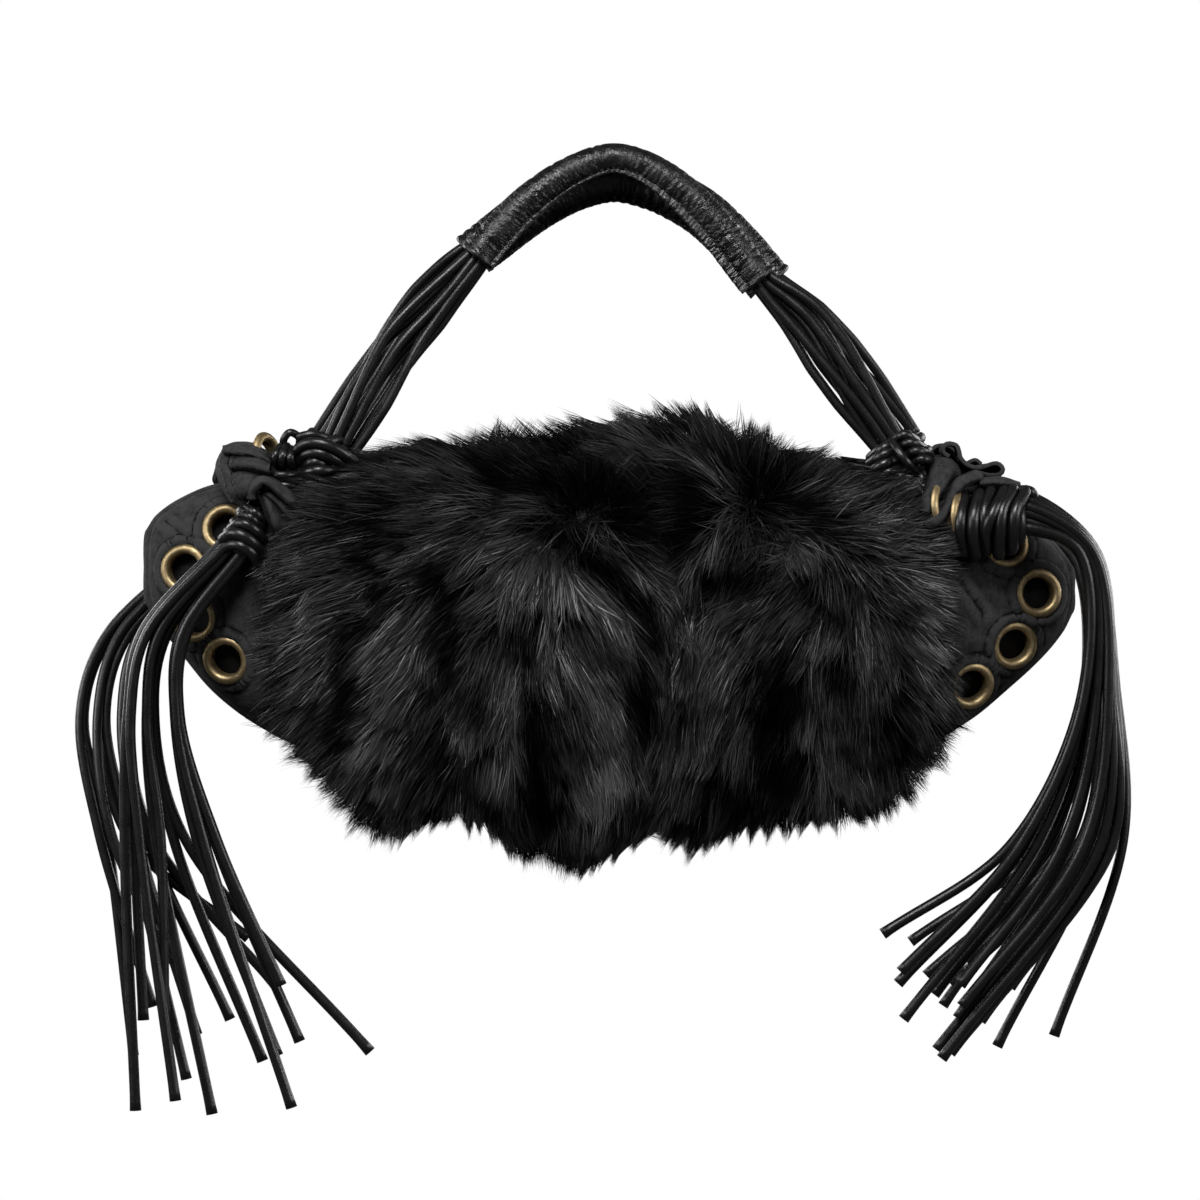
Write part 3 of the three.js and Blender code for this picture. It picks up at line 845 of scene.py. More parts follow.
@dataclass(frozen=True)
class GripFinish(Finish):
    """Glazed leather crinkled by the hand: cracked gloss, rubbed pale on its creases.

    Attributes:
        dark: Its glazed colour.
        pale: Its rubbed colour.
    """

    name: str = "crinkled_glazed_leather"
    dark: Triple = (0.0014, 0.0014, 0.0015)
    pale: Triple = (0.012, 0.012, 0.0124)

    def lay_out(self, bench: Bench) -> None:
        """Lays out the grip's nodes.

        Args:
            bench: The material's node tree.
        """
        place = bench.place()
        bend = bench.noise(bench.map((2.0, 4.5, 1.0)), 1.6, 4, 0.6)
        crinkle = bench.noise(bench.map((5.0, 9.5, 1.0)), 1.4, 2, 0.6)
        patch = bench.noise(place, 75, 3, 0.6)
        fine = bench.noise(place, 1700, 3, 0.6)
        worn = bench.sum([(bend, 0.35), (crinkle, 0.35), (patch, 0.3)])
        bench.shade(
            Base_Color=bench.ramp(worn, [(0.46, self.dark), (0.68, self.pale)]),
            Roughness=bench.spread(bench.sum([(patch, 0.8), (fine, 0.2)]), 0.2, 0.42, 0.38, 0.6),
            Specular_IOR_Level=0.45,
        )
        bench.relief(bench.sum([(bend, 1.0), (crinkle, 0.55), (fine, 0.04)]), 0.9)


@dataclass(frozen=True)
class BrassFinish(Finish):
    """Antiqued brass: brown in the rolls, worn bright on the crown.

    Attributes:
        patina: The brown in its rolls.
        warm: The brass between.
        worn: The bright crown.
    """

    name: str = "antique_brass"
    patina: Triple = (0.30, 0.225, 0.12)
    warm: Triple = (0.88, 0.74, 0.47)
    worn: Triple = (1.0, 0.94, 0.76)

    def lay_out(self, bench: Bench) -> None:
        """Lays out the brass's nodes.

        Args:
            bench: The material's node tree.
        """
        across = bench.put("SeparateXYZ", {0: bench.map()}).outputs[1]
        cloud = bench.noise(bench.place(), 420, 4, 0.65)
        wear = bench.sum([(across, 0.8), (cloud, 0.42)])
        bench.shade(
            Base_Color=bench.ramp(wear, [(0.2, self.patina), (0.5, self.warm), (0.9, self.worn)]),
            Metallic=1.0,
            Roughness=bench.spread(wear, 0.52, 0.34, 0.3, 0.95),
        )
        bench.relief(cloud, 0.05)


@dataclass
class Finishes:
    """Every finish of the bag, made once.

    Attributes:
        hairs: The hair's, darkest first.
        skin: The skin's under the hair.
        nubuck: The bare leather's.
        lining: The leather's inside.
        cord: The cords'.
        grip: The grips'.
        brass: The eyelets'.
        thread: The stitches'.
    """

    hairs: tuple[Material, ...] = field(default_factory=hair_depths)
    skin: Material = field(default_factory=PlainFinish("fur_skin", (0.0008, 0.0008, 0.0008)).build)
    nubuck: Material = field(default_factory=NubuckFinish().build)
    lining: Material = field(
        default_factory=NubuckFinish("suede_inside", (0.006, 0.006, 0.0065), (0.016, 0.016, 0.017)).build
    )
    cord: Material = field(default_factory=CordFinish().build)
    grip: Material = field(default_factory=GripFinish().build)
    brass: Material = field(default_factory=BrassFinish().build)
    thread: Material = field(
        default_factory=PlainFinish("waxed_black_thread", (0.022, 0.022, 0.0225), 0.5).build
    )


# ----------------------------------------------------------------------------------- pouch form


@dataclass(frozen=True)
class PouchForm:
    """The leather pouch that everything else lies on.

    Attributes:
        sections: Rows of x, top, bottom and half depth, in millimetres.
        mouth_half_length: Half the length of the open top edge.
        mouth_half_width: Half its width.
    """

    sections: tuple[tuple[float, float, float, float], ...] = (
        (-204, -150, -180, 3),
        (-200, -144, -187, 8),
        (-190, -137, -200, 13),
        (-175, -131, -218, 18),
        (-155, -130, -233, 24),
        (-120, -130, -250, 36),
        (-60, -118, -267, 47),
        (0, -112, -273, 50),
        (60, -114, -267, 47),
        (120, -130, -250, 36),
        (155, -133, -230, 24),
        (172, -138, -216, 18),
        (186, -150, -203, 13),
        (195, -160, -192, 8),
        (199, -166, -184, 3),
    )
    mouth_half_length: float = 104.0
    mouth_half_width: float = 17.0

    def section(self, x: Array) -> Array:
        """The section at each x.

        Args:
            x: Places along the bag.

        Returns:
            Rows of top, bottom and half depth.
        """
        rows = np.array(self.sections, float)
        stops = rows[:, 0]
        x = np.clip(np.atleast_1d(np.asarray(x, float)), stops[0], stops[-1])
        k = np.clip(np.searchsorted(stops, x, side="left"), 1, len(stops) - 1)
        ahead = np.minimum(np.arange(len(stops)) + 1, len(stops) - 1)
        behind = np.maximum(np.arange(len(stops)) - 1, 0)
        slopes = (rows[ahead, 1:] - rows[behind, 1:]) / (stops[ahead] - stops[behind])[:, None]
        span = (stops[k] - stops[k - 1])[:, None]
        t = ((x - stops[k - 1]) / span[:, 0])[:, None]
        a, b = rows[k - 1, 1:], rows[k, 1:]
        return (
            (2 * t**3 - 3 * t**2 + 1) * a
            + (t**3 - 2 * t**2 + t) * span * slopes[k - 1]
            + (3 * t**2 - 2 * t**3) * b
            + (t**3 - t**2) * span * slopes[k]
        )

    def surface(self, x: Array, turn: Array, face: float, offset: Array | float = 0.0) -> Array:
        """Points of the pouch.

        Args:
            x: Places along the bag.
            turn: 0 at the top and pi at the bottom.
            face: -1 for the front and 1 for the back.
            offset: How far out from the leather.

        Returns:
            The points as rows.
        """
        x = np.atleast_1d(np.asarray(x, float))
        top, bottom, half = self.section(x).T
        height = (top - bottom) / 2 + offset
        return np.stack(
            [x, face * (half + offset) * np.sin(turn), (top + bottom) / 2 + height * np.cos(turn)], axis=-1
        )

    def outward(self, x: Array, turn: Array, face: float) -> Array:
        """Outward directions of the pouch.

        Args:
            x: Places along the bag.
            turn: 0 at the top and pi at the bottom.
            face: -1 for the front and 1 for the back.

        Returns:
            Unit rows.
        """
        step = 1.0
        along = self.surface(x + step, turn, face) - self.surface(x - step, turn, face)
        down = self.surface(x, turn + 0.01, face) - self.surface(x, turn - 0.01, face)
        out = unit(np.cross(along, down))
        top, bottom, _ = self.section(x).T
        centre = np.stack([np.asarray(x, float), np.zeros_like(top), (top + bottom) / 2], axis=-1)
        sign = np.sign(np.sum(out * (self.surface(x, turn, face) - centre), axis=-1, keepdims=True))
        return out * np.where(sign == 0, 1.0, sign)

    def turn_at(self, x: Array, z: Array) -> Array:
        """The turn at a height.

        Args:
            x: Places along the bag.
            z: Heights.

        Returns:
            The turns.
        """
        top, bottom, _ = self.section(x).T
        return np.arccos(np.clip((2 * np.asarray(z, float) - top - bottom) / (top - bottom), -1, 1))

    def mouth_turn(self, x: Array) -> Array:
        """The turn at which a face starts at the mouth.

        Args:
            x: Places along the bag.

        Returns:
            The turns.
        """
        share = np.clip(1 - (np.atleast_1d(x) / self.mouth_half_length) ** 2, 0, None)
        width = np.maximum(self.mouth_half_width * np.sqrt(share), GAP / 2)
        return np.arcsin(np.clip(width / self.section(x)[:, 2], 0, 1))


FORM = PouchForm()


# ------------------------------------------------------------------------------------------ fur

PANEL_SEEDS = {Face.FRONT: 7, Face.BACK: 11}
HEM_SEED, CREST_SEED = 3, 4
FRINGE_TUFTS = 80  # pointed tufts along an edge of the fur
FRINGE_GAPS = (2.4, 9.6)  # the least and the most from one to the next
FRINGE_START = -190.0  # where the first one stands
STRAY_SHARE = 0.06  # of the hairs, those that leave their clump
MEAN_RADIUS = 60.0  # of the pouch, to turn a distance on it into an angle
HAIR_STATIONS = (0.0, 0.36, 0.72, 1.0)  # the shares of a hair's length at which it has points
HAIR_WIDTHS = (0.85, 1.0, 0.62, 0.0)  # how wide it is there
HAIR_POINTS = 7  # two at each station but the last, and its tip


@dataclass(frozen=True)
class HairFlow:
    """The ways in which the hair of a panel lies.

    Attributes:
        lanes: For some heights, places along the bag and the direction there in degrees, from +X
            towards +Z.
        reach: How far a direction is felt.
    """

    lanes: tuple[tuple[float, tuple[Pair, ...]], ...] = (
        (-102, ((-104, 168), (-74, 160), (-54, 145), (-34, 147), (-14, 152), (6, 155), (22, 148),
                (36, 125), (50, 100),
                (60, 85), (76, 50), (98, 20))),
        (-118, ((-120, 176), (-94, 174), (-64, 165), (-44, 152), (-24, 150), (-4, 152), (16, 160), (34, 155),
                (48, 140), (60, 85), (72, 45), (88, 20), (110, 8))),
        (-133, ((-130, 184), (-104, 186), (-74, 180), (-50, 165), (-30, 152), (-12, 120), (8, 150), (28, 168),
                (44, 174), (60, 95), (74, 15), (94, 2), (108, 60), (122, 62), (138, 45))),
        (-147, ((-148, 186), (-120, 190), (-90, 190), (-62, 196), (-44, 208), (-32, 225), (-8, -8), (6, -14),
                (20, -62), (34, 205), (46, 215), (60, 268), (74, -30), (92, -12), (106, 50), (120, 38),
                (138, 18))),
        (-165, ((-150, 192), (-120, 198), (-92, 205), (-66, 218), (-50, 238), (-34, 262), (-18, -60),
                (0, -48),
                (18, -50), (32, 245), (46, 222), (62, 196), (80, 184), (94, 188), (105, 262),
                (116, -12), (135, 4))),
        (-183, ((-152, 198), (-120, 206), (-92, 214), (-68, 226), (-50, 248), (-30, 275), (-12, -56),
                (6, -52),
                (22, -80), (36, 255), (54, 228), (76, 222), (92, 240), (102, 265), (118, -52), (138, -25))),
        (-205, ((-150, 204), (-120, 212), (-92, 222), (-68, 232), (-50, 255), (-32, 284), (-12, -54),
                (6, -58),
                (16, 268), (34, 250), (60, 240), (86, 252), (102, 266), (116, -65), (138, -35))),
        (-228, ((-145, 208), (-116, 216), (-90, 228), (-66, 242), (-48, 268), (-30, 288), (-8, -62), (8, -75),
                (16, 262), (40, 248), (66, 246), (90, 258), (106, 278), (122, -62), (140, -45))),
        (-252, ((-135, 216), (-108, 228), (-82, 240), (-58, 268), (-38, 288), (-18, -75), (4, 262), (22, 236),
                (44, 240), (70, 248), (92, 264), (110, 284), (128, -58))),
        (-275, ((-112, 228), (-86, 236), (-62, 272), (-42, 290), (-22, 264), (2, 240), (26, 228), (56, 240),
                (86, 264), (112, 292), (125, -60))),
    )  # fmt: skip
    reach: float = 12.0

    def at(self, x: Array, z: Array, face: Face) -> Array:
        """Directions at places of a face.

        Args:
            x: Places along the bag.
            z: Heights.
            face: Which face.

        Returns:
            Rows of two, at most one long and shorter where the hair parts.
        """
        flip = -face.value  # the back is the front's mirror image
        rows = np.array([(px * flip, up, math.radians(a)) for up, lane in self.lanes for px, a in lane])
        apart = (x[:, None] - rows[:, 0]) ** 2 + (z[:, None] - rows[:, 1]) ** 2
        near = np.exp(-apart / (2 * self.reach**2))
        near += 1e-9
        flow = np.stack([near @ (np.cos(rows[:, 2]) * flip), near @ np.sin(rows[:, 2])], axis=1)
        return flow / near.sum(axis=1, keepdims=True)


@dataclass(frozen=True)
class Billows:
    """The crests and dips of a fur panel, where the hair stands high or lies low; its tone takes painted
    highlight on the crests and painted shade in the dips.

    Attributes:
        strokes: Each one's height, where 1 is a full crest, its half width and the places it runs through.
    """

    strokes: tuple[tuple[float, float, tuple[Pair, ...]], ...] = (
        (1.15, 5.5, ((4, -109), (23, -115), (40, -123), (47, -135), (45, -147), (37, -160))),
        (0.9, 6, ((-39, -138), (-55, -147), (-52, -165), (-48, -182))),
        (0.95, 9, ((-36, -165), (-18, -179), (-1, -188), (11, -200))),
        (1.05, 10, ((-24, -203), (-9, -218), (-1, -238), (-1, -256), (-10, -271))),
        (0.7, 10, ((-139, -165), (-133, -188), (-133, -215), (-138, -230))),
        (0.6, 4, ((-109, -179), (-105, -197), (-102, -221), (-109, -244))),
        (0.6, 7, ((-92, -188), (-86, -209), (-95, -229))),
        (0.75, 9, ((-107, -244), (-98, -262))),
        (0.6, 5, ((-65, -235), (-51, -247), (-42, -229), (-45, -214))),
        (0.45, 5, ((-90, -146), (-77, -141), (-57, -136))),
        (0.45, 6, ((-90, -122), (-65, -124))),
        (0.85, 6, ((69, -162), (90, -160))),
        (0.9, 8, ((99, -132), (114, -141), (131, -156), (141, -188), (140, -209), (137, -229))),
        (0.5, 7, ((108, -190), (111, -214))),
        (0.85, 8, ((84, -238), (93, -259))),
        (0.55, 6, ((23, -244), (52, -241))),
        (0.5, 6, ((34, -196), (43, -209), (52, -199))),
        (0.5, 3, ((-13, -150), (-1, -155))),
        (0.5, 3, ((5, -165), (11, -172))),
        (-1.4, 8, ((-56, -123), (-36, -129), (-15, -129), (5, -135), (11, -147))),
        (-1.4, 7, ((28, -129), (34, -144), (26, -157))),
        (-1.2, 5.5, ((-30, -153), (-12, -162), (5, -176), (17, -194), (8, -214), (14, -233))),
        (-1.2, 6, ((40, -171), (58, -169))),
        (-1.1, 7, ((61, -132), (81, -138), (93, -147))),
        (-1.4, 8, ((69, -208), (73, -223), (64, -241), (75, -256))),
        (-1.0, 8, ((40, -265), (55, -262))),
        (-1.0, 5, ((-103, -140), (-105, -151), (-102, -176))),
        (-1.0, 5, ((-117, -179), (-115, -203), (-117, -223), (-120, -241))),
        (-0.9, 6, ((-77, -168), (-71, -188), (-74, -209), (-80, -218))),
        (-0.7, 5, ((-42, -191), (-36, -206))),
        (-1.1, 6, ((-36, -223), (-36, -244), (-30, -270))),
        (-1.0, 7, ((-77, -244), (-65, -259), (-53, -268))),
        (-0.6, 5, ((-60, -222), (-58, -226))),
        (-0.6, 5, ((96, -200), (99, -223))),
        (-0.7, 8, ((110, -231), (125, -224), (118, -246))),
        (-0.7, 6, ((-14, -115), (-40, -108))),
        (-0.6, 5, ((57, -120), (76, -127))),
    )  # fmt: skip

    def at(self, x: Array, z: Array, face: Face) -> Array:
        """The billow at places of a face.

        Args:
            x: Places along the bag.
            z: Heights.
            face: Which face; the back is the front's mirror image.

        Returns:
            Heights between about -1 and 1.
        """
        along, height = -face.value * np.asarray(x, float), np.asarray(z, float)
        total = np.zeros(np.broadcast(along, height).shape)
        for crest, width, places in self.strokes:
            nearest = np.full(total.shape, np.inf)
            for (x0, z0), (x1, z1) in pairwise(places):
                run = np.array([x1 - x0, z1 - z0], float)
                share = np.clip(((along - x0) * run[0] + (height - z0) * run[1]) / (run @ run), 0, 1)
                apart = np.hypot(along - x0 - share * run[0], height - z0 - share * run[1])
                nearest = np.minimum(nearest, apart)
            total += crest * np.exp(-((nearest / width) ** 2))
        return total


@dataclass
class FurPanel:
    """One long-haired panel: a dark lumpy skin and many tapered hairs in clumps and tufts.

    Attributes:
        face: Which face it covers.
        finishes: The bag's finishes.
        hairs: How many hairs it has.
        length: The hairs' mean length.
        width: A hair's width at its root.
        clump: Distance between small clumps.
        tuft: Distance between tufts.
        parts: How many pieces the hairs are split into.
        flow: How the hair lies.
        billows: Where it stands high.
        hem: The lowest tips along the bag: x and z.
        crest: The highest tips.
        sides: The tips' limits along the bag, beyond the two seams.
        drop: The mean way over the leather from the mouth to the bottom.
        skin_lift: How far the hair's roots lie above the leather at least.
    """

    face: Face
    finishes: Finishes
    hairs: int = 76000
    length: float = 26.0
    width: float = 0.46
    clump: float = 3.3
    tuft: float = 11.0
    parts: int = 2
    flow: HairFlow = field(default_factory=HairFlow)
    billows: Billows = field(default_factory=Billows)
    hem: tuple[Pair, ...] = (
        (-165, -222), (-152, -232), (-139, -249), (-122, -268), (-112, -284), (-98, -289), (-84, -278),
        (-70, -276),
        (-56, -277), (-47, -291), (-34, -300), (-23, -304), (-8, -296), (4, -288), (14, -279),
        (22, -285), (33, -291),
        (44, -287), (56, -280), (72, -281), (86, -277), (97, -279), (118, -275), (132, -266),
        (146, -243), (160, -222),
    )  # fmt: skip
    crest: tuple[Pair, ...] = (
        (-150, -130), (-120, -118), (-104, -114), (-90, -109), (-76, -110), (-60, -107), (-52, -101),
        (-40, -99),
        (-32, -102), (-20, -104), (-5, -104), (7, -99), (17, -96), (29, -94), (39, -98), (47, -101),
        (55, -98),
        (67, -106), (77, -113), (92, -116), (98, -122), (115, -128), (150, -135),
    )  # fmt: skip
    sides: Pair = (-162.0, 150.5)
    drop: float = 172.0
    skin_lift: float = 1.2

    def __post_init__(self) -> None:
        """Seeds the panel's own random numbers."""
        self.random = np.random.default_rng(PANEL_SEEDS[self.face])

    def base(self, x: Array, turn: Array) -> Array:
        """The height of the skin under the hair, with billows.

        Args:
            x: Places along the bag.
            turn: 0 at the top and pi at the bottom.

        Returns:
            Offsets from the leather.
        """
        first = FORM.mouth_turn(x)
        down = (turn - first) / (math.pi - first)
        rim = smoothstep(SEAM_X - np.abs(x), 0, 26) * smoothstep(down, -0.22, 0.14)
        rim = rim * (1.45 - 0.45 * down)
        z = FORM.surface(x, turn, float(self.face.value))[..., 2]
        wave = self.billows.at(x, z, self.face)
        wave = wave + 0.3 * np.sin(x / 17 + 2.4 * turn) + 0.2 * np.cos(x / 11 - turn)
        low = 1 - 0.75 * smoothstep(turn, 0.86 * math.pi, math.pi)
        return self.skin_lift + rim * low * np.clip(5.0 + 5.2 * wave, 0.2, 11.5)

    def scatter(self, count: int) -> tuple[Array, Array]:
        """Random places spread evenly over the panel.

        Args:
            count: How many.

        Returns:
            Places along the bag and turns.
        """
        xs, turns = np.empty(0), np.empty(0)
        while len(xs) < count:
            x = self.random.uniform(-SEAM_X, SEAM_X, 3 * count)
            first = FORM.mouth_turn(x)
            turn = first + (math.pi - first) * self.random.random(3 * count)
            top, bottom, half = FORM.section(x).T
            stretch = np.hypot(half * np.cos(turn), (top - bottom) / 2 * np.sin(turn)) * (math.pi - first)
            keep = self.random.random(3 * count) * 320 < stretch
            xs, turns = np.append(xs, x[keep]), np.append(turns, turn[keep])
        return xs[:count], turns[:count]

    def strokes(
        self, x: Array, turn: Array, stray: float, loft: float = 0.05
    ) -> tuple[Array, Array, Array, Array]:
        """The curves of hairs that grow at places of the panel.

        Args:
            x: Places along the bag.
            turn: 0 at the top and pi at the bottom.
            stray: How far directions differ at random, in degrees.
            loft: How far their lift differs at random.

        Returns:
            Roots, middle points, tips and outward directions, as rows.
        """
        random = self.random
        face = float(self.face.value)
        out = FORM.outward(x, turn, face)
        root = FORM.surface(x, turn, face, self.base(x, turn))
        flow = self.flow.at(x, root[:, 2], self.face)
        parted = 1 - np.clip(np.linalg.norm(flow, axis=1), 0, 1)
        flow = unit(flow)
        angle = np.radians(random.normal(0, 1, len(x)) * (stray + 75 * parted**2))
        cos, sin = np.cos(angle), np.sin(angle)
        ahead, upward = flow[:, 0] * cos - flow[:, 1] * sin, flow[:, 0] * sin + flow[:, 1] * cos
        lie = np.stack([ahead, np.zeros_like(x), upward], axis=1)
        inward = np.minimum(np.sum(lie * out, axis=1, keepdims=True), 0)
        lie = unit(lie - inward * out)
        rim = smoothstep(SEAM_X - np.abs(x), 0, 20)
        length = self.length * random.uniform(0.8, 1.12, len(x)) * (1.04 - 0.04 * rim)
        lift = (random.normal(0.26, loft, len(x)) + 0.25 * parted**2)[:, None]
        rise = unit(lie + (0.7 + 1.5 * (lift - 0.26)) * out)
        fall = unit(lie + (lift - 0.08) * out + np.array([0, 0, -0.08]))
        middle = root + 0.40 * length[:, None] * rise
        tip = middle + 0.64 * length[:, None] * fall
        return root, middle, tip, out

    def fringe(self, x: Array, seed: int) -> tuple[Array, Array]:
        """The pointed tufts along an edge of the fur, the same for both faces.

        Args:
            x: Places along the bag.
            seed: The edge's own seed.

        Returns:
            How far the tuft at each place passes the edge, and the way to the tuft's axis.
        """
        random = np.random.default_rng(seed)
        gaps = random.uniform(*FRINGE_GAPS, FRINGE_TUFTS)
        axes = np.cumsum(gaps) + FRINGE_START
        reach = 1.0 + gaps * random.uniform(0.15, 1.25, FRINGE_TUFTS)
        home = np.abs(x[:, None] - axes[None]).argmin(axis=1)
        way = axes[home] - x
        return reach[home] * np.clip(1 - np.abs(way) / (1.4 + 0.42 * gaps[home]), 0, 1), way

    def trim(self, root: Array, middle: Array, tip: Array, margin: Array) -> tuple[Array, Array]:
        """Holds the tips inside the fur's outline and its pointed tufts.

        Args:
            root: Where the hairs grow.
            middle: The points they bend towards.
            tip: Their tips.
            margin: How far each may pass the outline between the tufts.

        Returns:
            The new middle points and tips.
        """
        x, z = tip[:, 0], tip[:, 2]
        margin = margin - (2.0 if self.face is Face.BACK else 0.0)
        along = np.clip(x, self.sides[0] - 1.6 * margin, self.sides[1] + 1.6 * margin)
        slant = np.clip((x - root[:, 0]) / (np.abs(z - root[:, 2]) + 5), -1.1, 1.1)
        height = z.copy()
        for edge, outward, seed in ((self.hem, -1.0, HEM_SEED), (self.crest, 1.0, CREST_SEED)):
            line = np.array(edge)
            reach, way = self.fringe(x, seed)
            allowed = reach * self.random.beta(2.0, 1.3, len(x)) + margin
            past = outward * (z - np.interp(x, line[:, 0], line[:, 1]))
            kept = np.minimum(past, allowed)
            height += outward * (kept - past)
            beyond = np.clip(kept, 0, None)
            along += np.where(past > 0, 0.6 * way * beyond / (reach + 2) + slant * beyond * 0.8, 0.0)
        shift = np.stack([along - x, np.zeros_like(x), height - z], axis=1)
        return middle + 0.5 * shift, tip + shift

    def comb(self) -> tuple[Array, Array, Array, Array, Array]:
        """The curves of all hairs, drawn together in clumps and tufts.

        Returns:
            Roots, middle points, tips, outward directions and how pale each hair is: a random tone with
            painted highlight on the billows' crests and painted shade in their dips.
        """
        random = self.random
        area = 2 * SEAM_X * self.drop
        clumps = int(area / self.clump**2)
        tufts = int(area / self.tuft**2)
        cx, ct = self.scatter(clumps)
        tx, tt = self.scatter(tufts)
        c_root, c_middle, c_tip, _ = self.strokes(cx, ct, 12, 0.08)
        t_root, t_middle, t_tip, _ = self.strokes(tx, tt, 19, 0.15)
        gap = ((c_root[:, None] - t_root[None]) ** 2).sum(axis=2)
        home = gap.argmin(axis=1)
        bind = random.uniform(0.5, 1.0, tufts)[home][:, None]
        pull = bind * (0.27 + 0.6 * np.exp(-gap.min(axis=1) / (0.75 * self.tuft) ** 2)[:, None])
        c_tip += pull * (t_tip[home] - c_tip)
        c_middle += 0.45 * pull * (t_middle[home] - c_middle)
        owner = random.integers(0, clumps, self.hairs)
        spread = self.clump * 0.78
        x = np.clip(cx[owner] + random.normal(0, spread, self.hairs), -SEAM_X, SEAM_X)
        turn = ct[owner] + random.normal(0, spread / MEAN_RADIUS, self.hairs)
        turn = np.clip(turn, FORM.mouth_turn(x), math.pi)
        root, middle, tip, out = self.strokes(x, turn, 8)
        hold = random.uniform(0.55, 0.95, self.hairs)[:, None]
        hold[random.random(self.hairs) < STRAY_SHARE] *= 0.3
        tip = tip + hold * (c_tip[owner] + (root - c_root[owner]) * 0.22 - tip)
        tip = tip + random.normal(0, 0.55, tip.shape)
        middle = middle + 0.55 * hold * (c_middle[owner] + (root - c_root[owner]) * 0.5 - middle)
        margin = random.normal(-0.7, 1.2, clumps)[owner] + random.normal(0, 1.0, self.hairs)
        middle, tip = self.trim(root, middle, tip, margin)
        halfway = 0.5 * middle + 0.5 * tip
        crest = np.clip(self.billows.at(halfway[:, 0], halfway[:, 2], self.face), -1.2, 1.2)
        clump_tone = random.beta(2.0, 2.6, clumps)[owner] - 0.43
        tuft_tone = random.uniform(-0.11, 0.11, tufts)[home[owner]]
        tone = 0.36 + 0.5 * clump_tone + 0.38 * (random.random(self.hairs) ** 1.5 - 0.4) + tuft_tone
        # Painted highlight and painted shade: hairs on the billows' crests are made paler and those in their
        # dips darker.
        tone = tone + np.where(crest > 0, 0.28, 0.34) * crest
        return root, middle, tip, out, np.clip(tone, 0, 1)

    def hair_piece(
        self, name: str, root: Array, middle: Array, tip: Array, out: Array, tone: Array
    ) -> Piece:
        """Hairs as one mesh of tapered blades.

        Args:
            name: The piece's name.
            root: Where the hairs grow.
            middle: The points they bend towards.
            tip: Their tips.
            out: Outward directions at the roots.
            tone: How pale each hair is, 0 to 1.

        Returns:
            The hair piece.
        """
        n = len(root)
        stations = np.array(HAIR_STATIONS)
        widths = np.array(HAIR_WIDTHS) * self.width / 2
        t = stations[None, :, None]
        line = (1 - t) ** 2 * root[:, None] + 2 * t * (1 - t) * middle[:, None] + t**2 * tip[:, None]
        along = unit(2 * (1 - t) * (middle - root)[:, None] + 2 * t * (tip - middle)[:, None] + 1e-9)
        roll = self.random.normal(0, 0.5, n)[:, None, None]
        side = unit(np.cross(along, out[:, None]))
        side = side * np.cos(roll) + np.cross(along, side) * np.sin(roll)
        thick = self.random.uniform(0.75, 1.25, n)[:, None, None] * widths[None, :, None]
        left, right = line - side * thick, line + side * thick
        points = np.concatenate([left[:, :3], right[:, :3], line[:, 3:]], axis=1)
        start = (np.arange(n) * HAIR_POINTS)[:, None]
        quads = (start[:, None] + np.array([[0, 3, 4, 1], [1, 4, 5, 2]])[None]).reshape(-1, 4)
        tips = start + np.array([[2, 5, 6]])
        mesh = bpy.data.meshes.new(name)
        mesh.vertices.add(HAIR_POINTS * n)
        mesh.vertices.foreach_set("co", (points * MM).astype(np.float32).ravel())
        loops = np.concatenate([quads.ravel(), tips.ravel()]).astype(np.int32)
        mesh.loops.add(len(loops))
        mesh.loops.foreach_set("vertex_index", loops)
        starts = np.concatenate([np.arange(2 * n) * 4, 8 * n + np.arange(n) * 3]).astype(np.int32)
        mesh.polygons.add(3 * n)
        mesh.polygons.foreach_set("loop_start", starts)
        mesh.polygons.foreach_set("use_smooth", np.ones(3 * n, dtype=bool))
        down = np.tile([*stations[:-1], *stations[:-1], stations[-1]], n)
        across = np.repeat(tone, HAIR_POINTS)
        uvs = np.stack([across[loops], down[loops]], axis=1).astype(np.float32)
        mesh.uv_layers.new(name="UVMap").data.foreach_set("uv", uvs.ravel())
        mesh.update(calc_edges=True)
        mesh.validate()
        for finish in self.finishes.hairs:
            mesh.materials.append(finish)
        depth = np.digitize(tone, HAIR_DEPTHS)
        chosen = np.concatenate([np.repeat(depth, 2), depth]).astype(np.int32)
        mesh.polygons.foreach_set("material_index", chosen)
        return linked(name, mesh)

    def skin_piece(self) -> Piece:
        """The dark skin that the hair grows from.

        Returns:
            The skin piece.
        """
        columns, rows = 120, 70
        x = np.linspace(-SEAM_X, SEAM_X, columns + 1)
        grid = []
        for place in x:
            first = FORM.mouth_turn(place)[0]
            turn = np.linspace(first, math.pi, rows + 1)
            xs = np.full(rows + 1, place)
            down = np.arange(rows + 1) / rows
            edge = smoothstep(down, 0, 0.03) * smoothstep(1 - down, 0, 0.02)
            lift = (self.base(xs, turn) - self.skin_lift) * edge * smoothstep(SEAM_X - abs(place), -0.5, 3)
            grid.append(FORM.surface(xs, turn, float(self.face.value), 0.35 + lift))
        points = np.array(grid).reshape(-1, 3)
        points[:, 1] = self.face.value * np.maximum(np.abs(points[:, 1]), GAP / 2)
        faces = crosswise(grid_faces(columns + 1, rows + 1))
        if self.face is Face.FRONT:
            faces = [face[::-1] for face in faces]
        return piece_from(f"fur_skin_{self.face.word}", points, faces, self.finishes.skin)

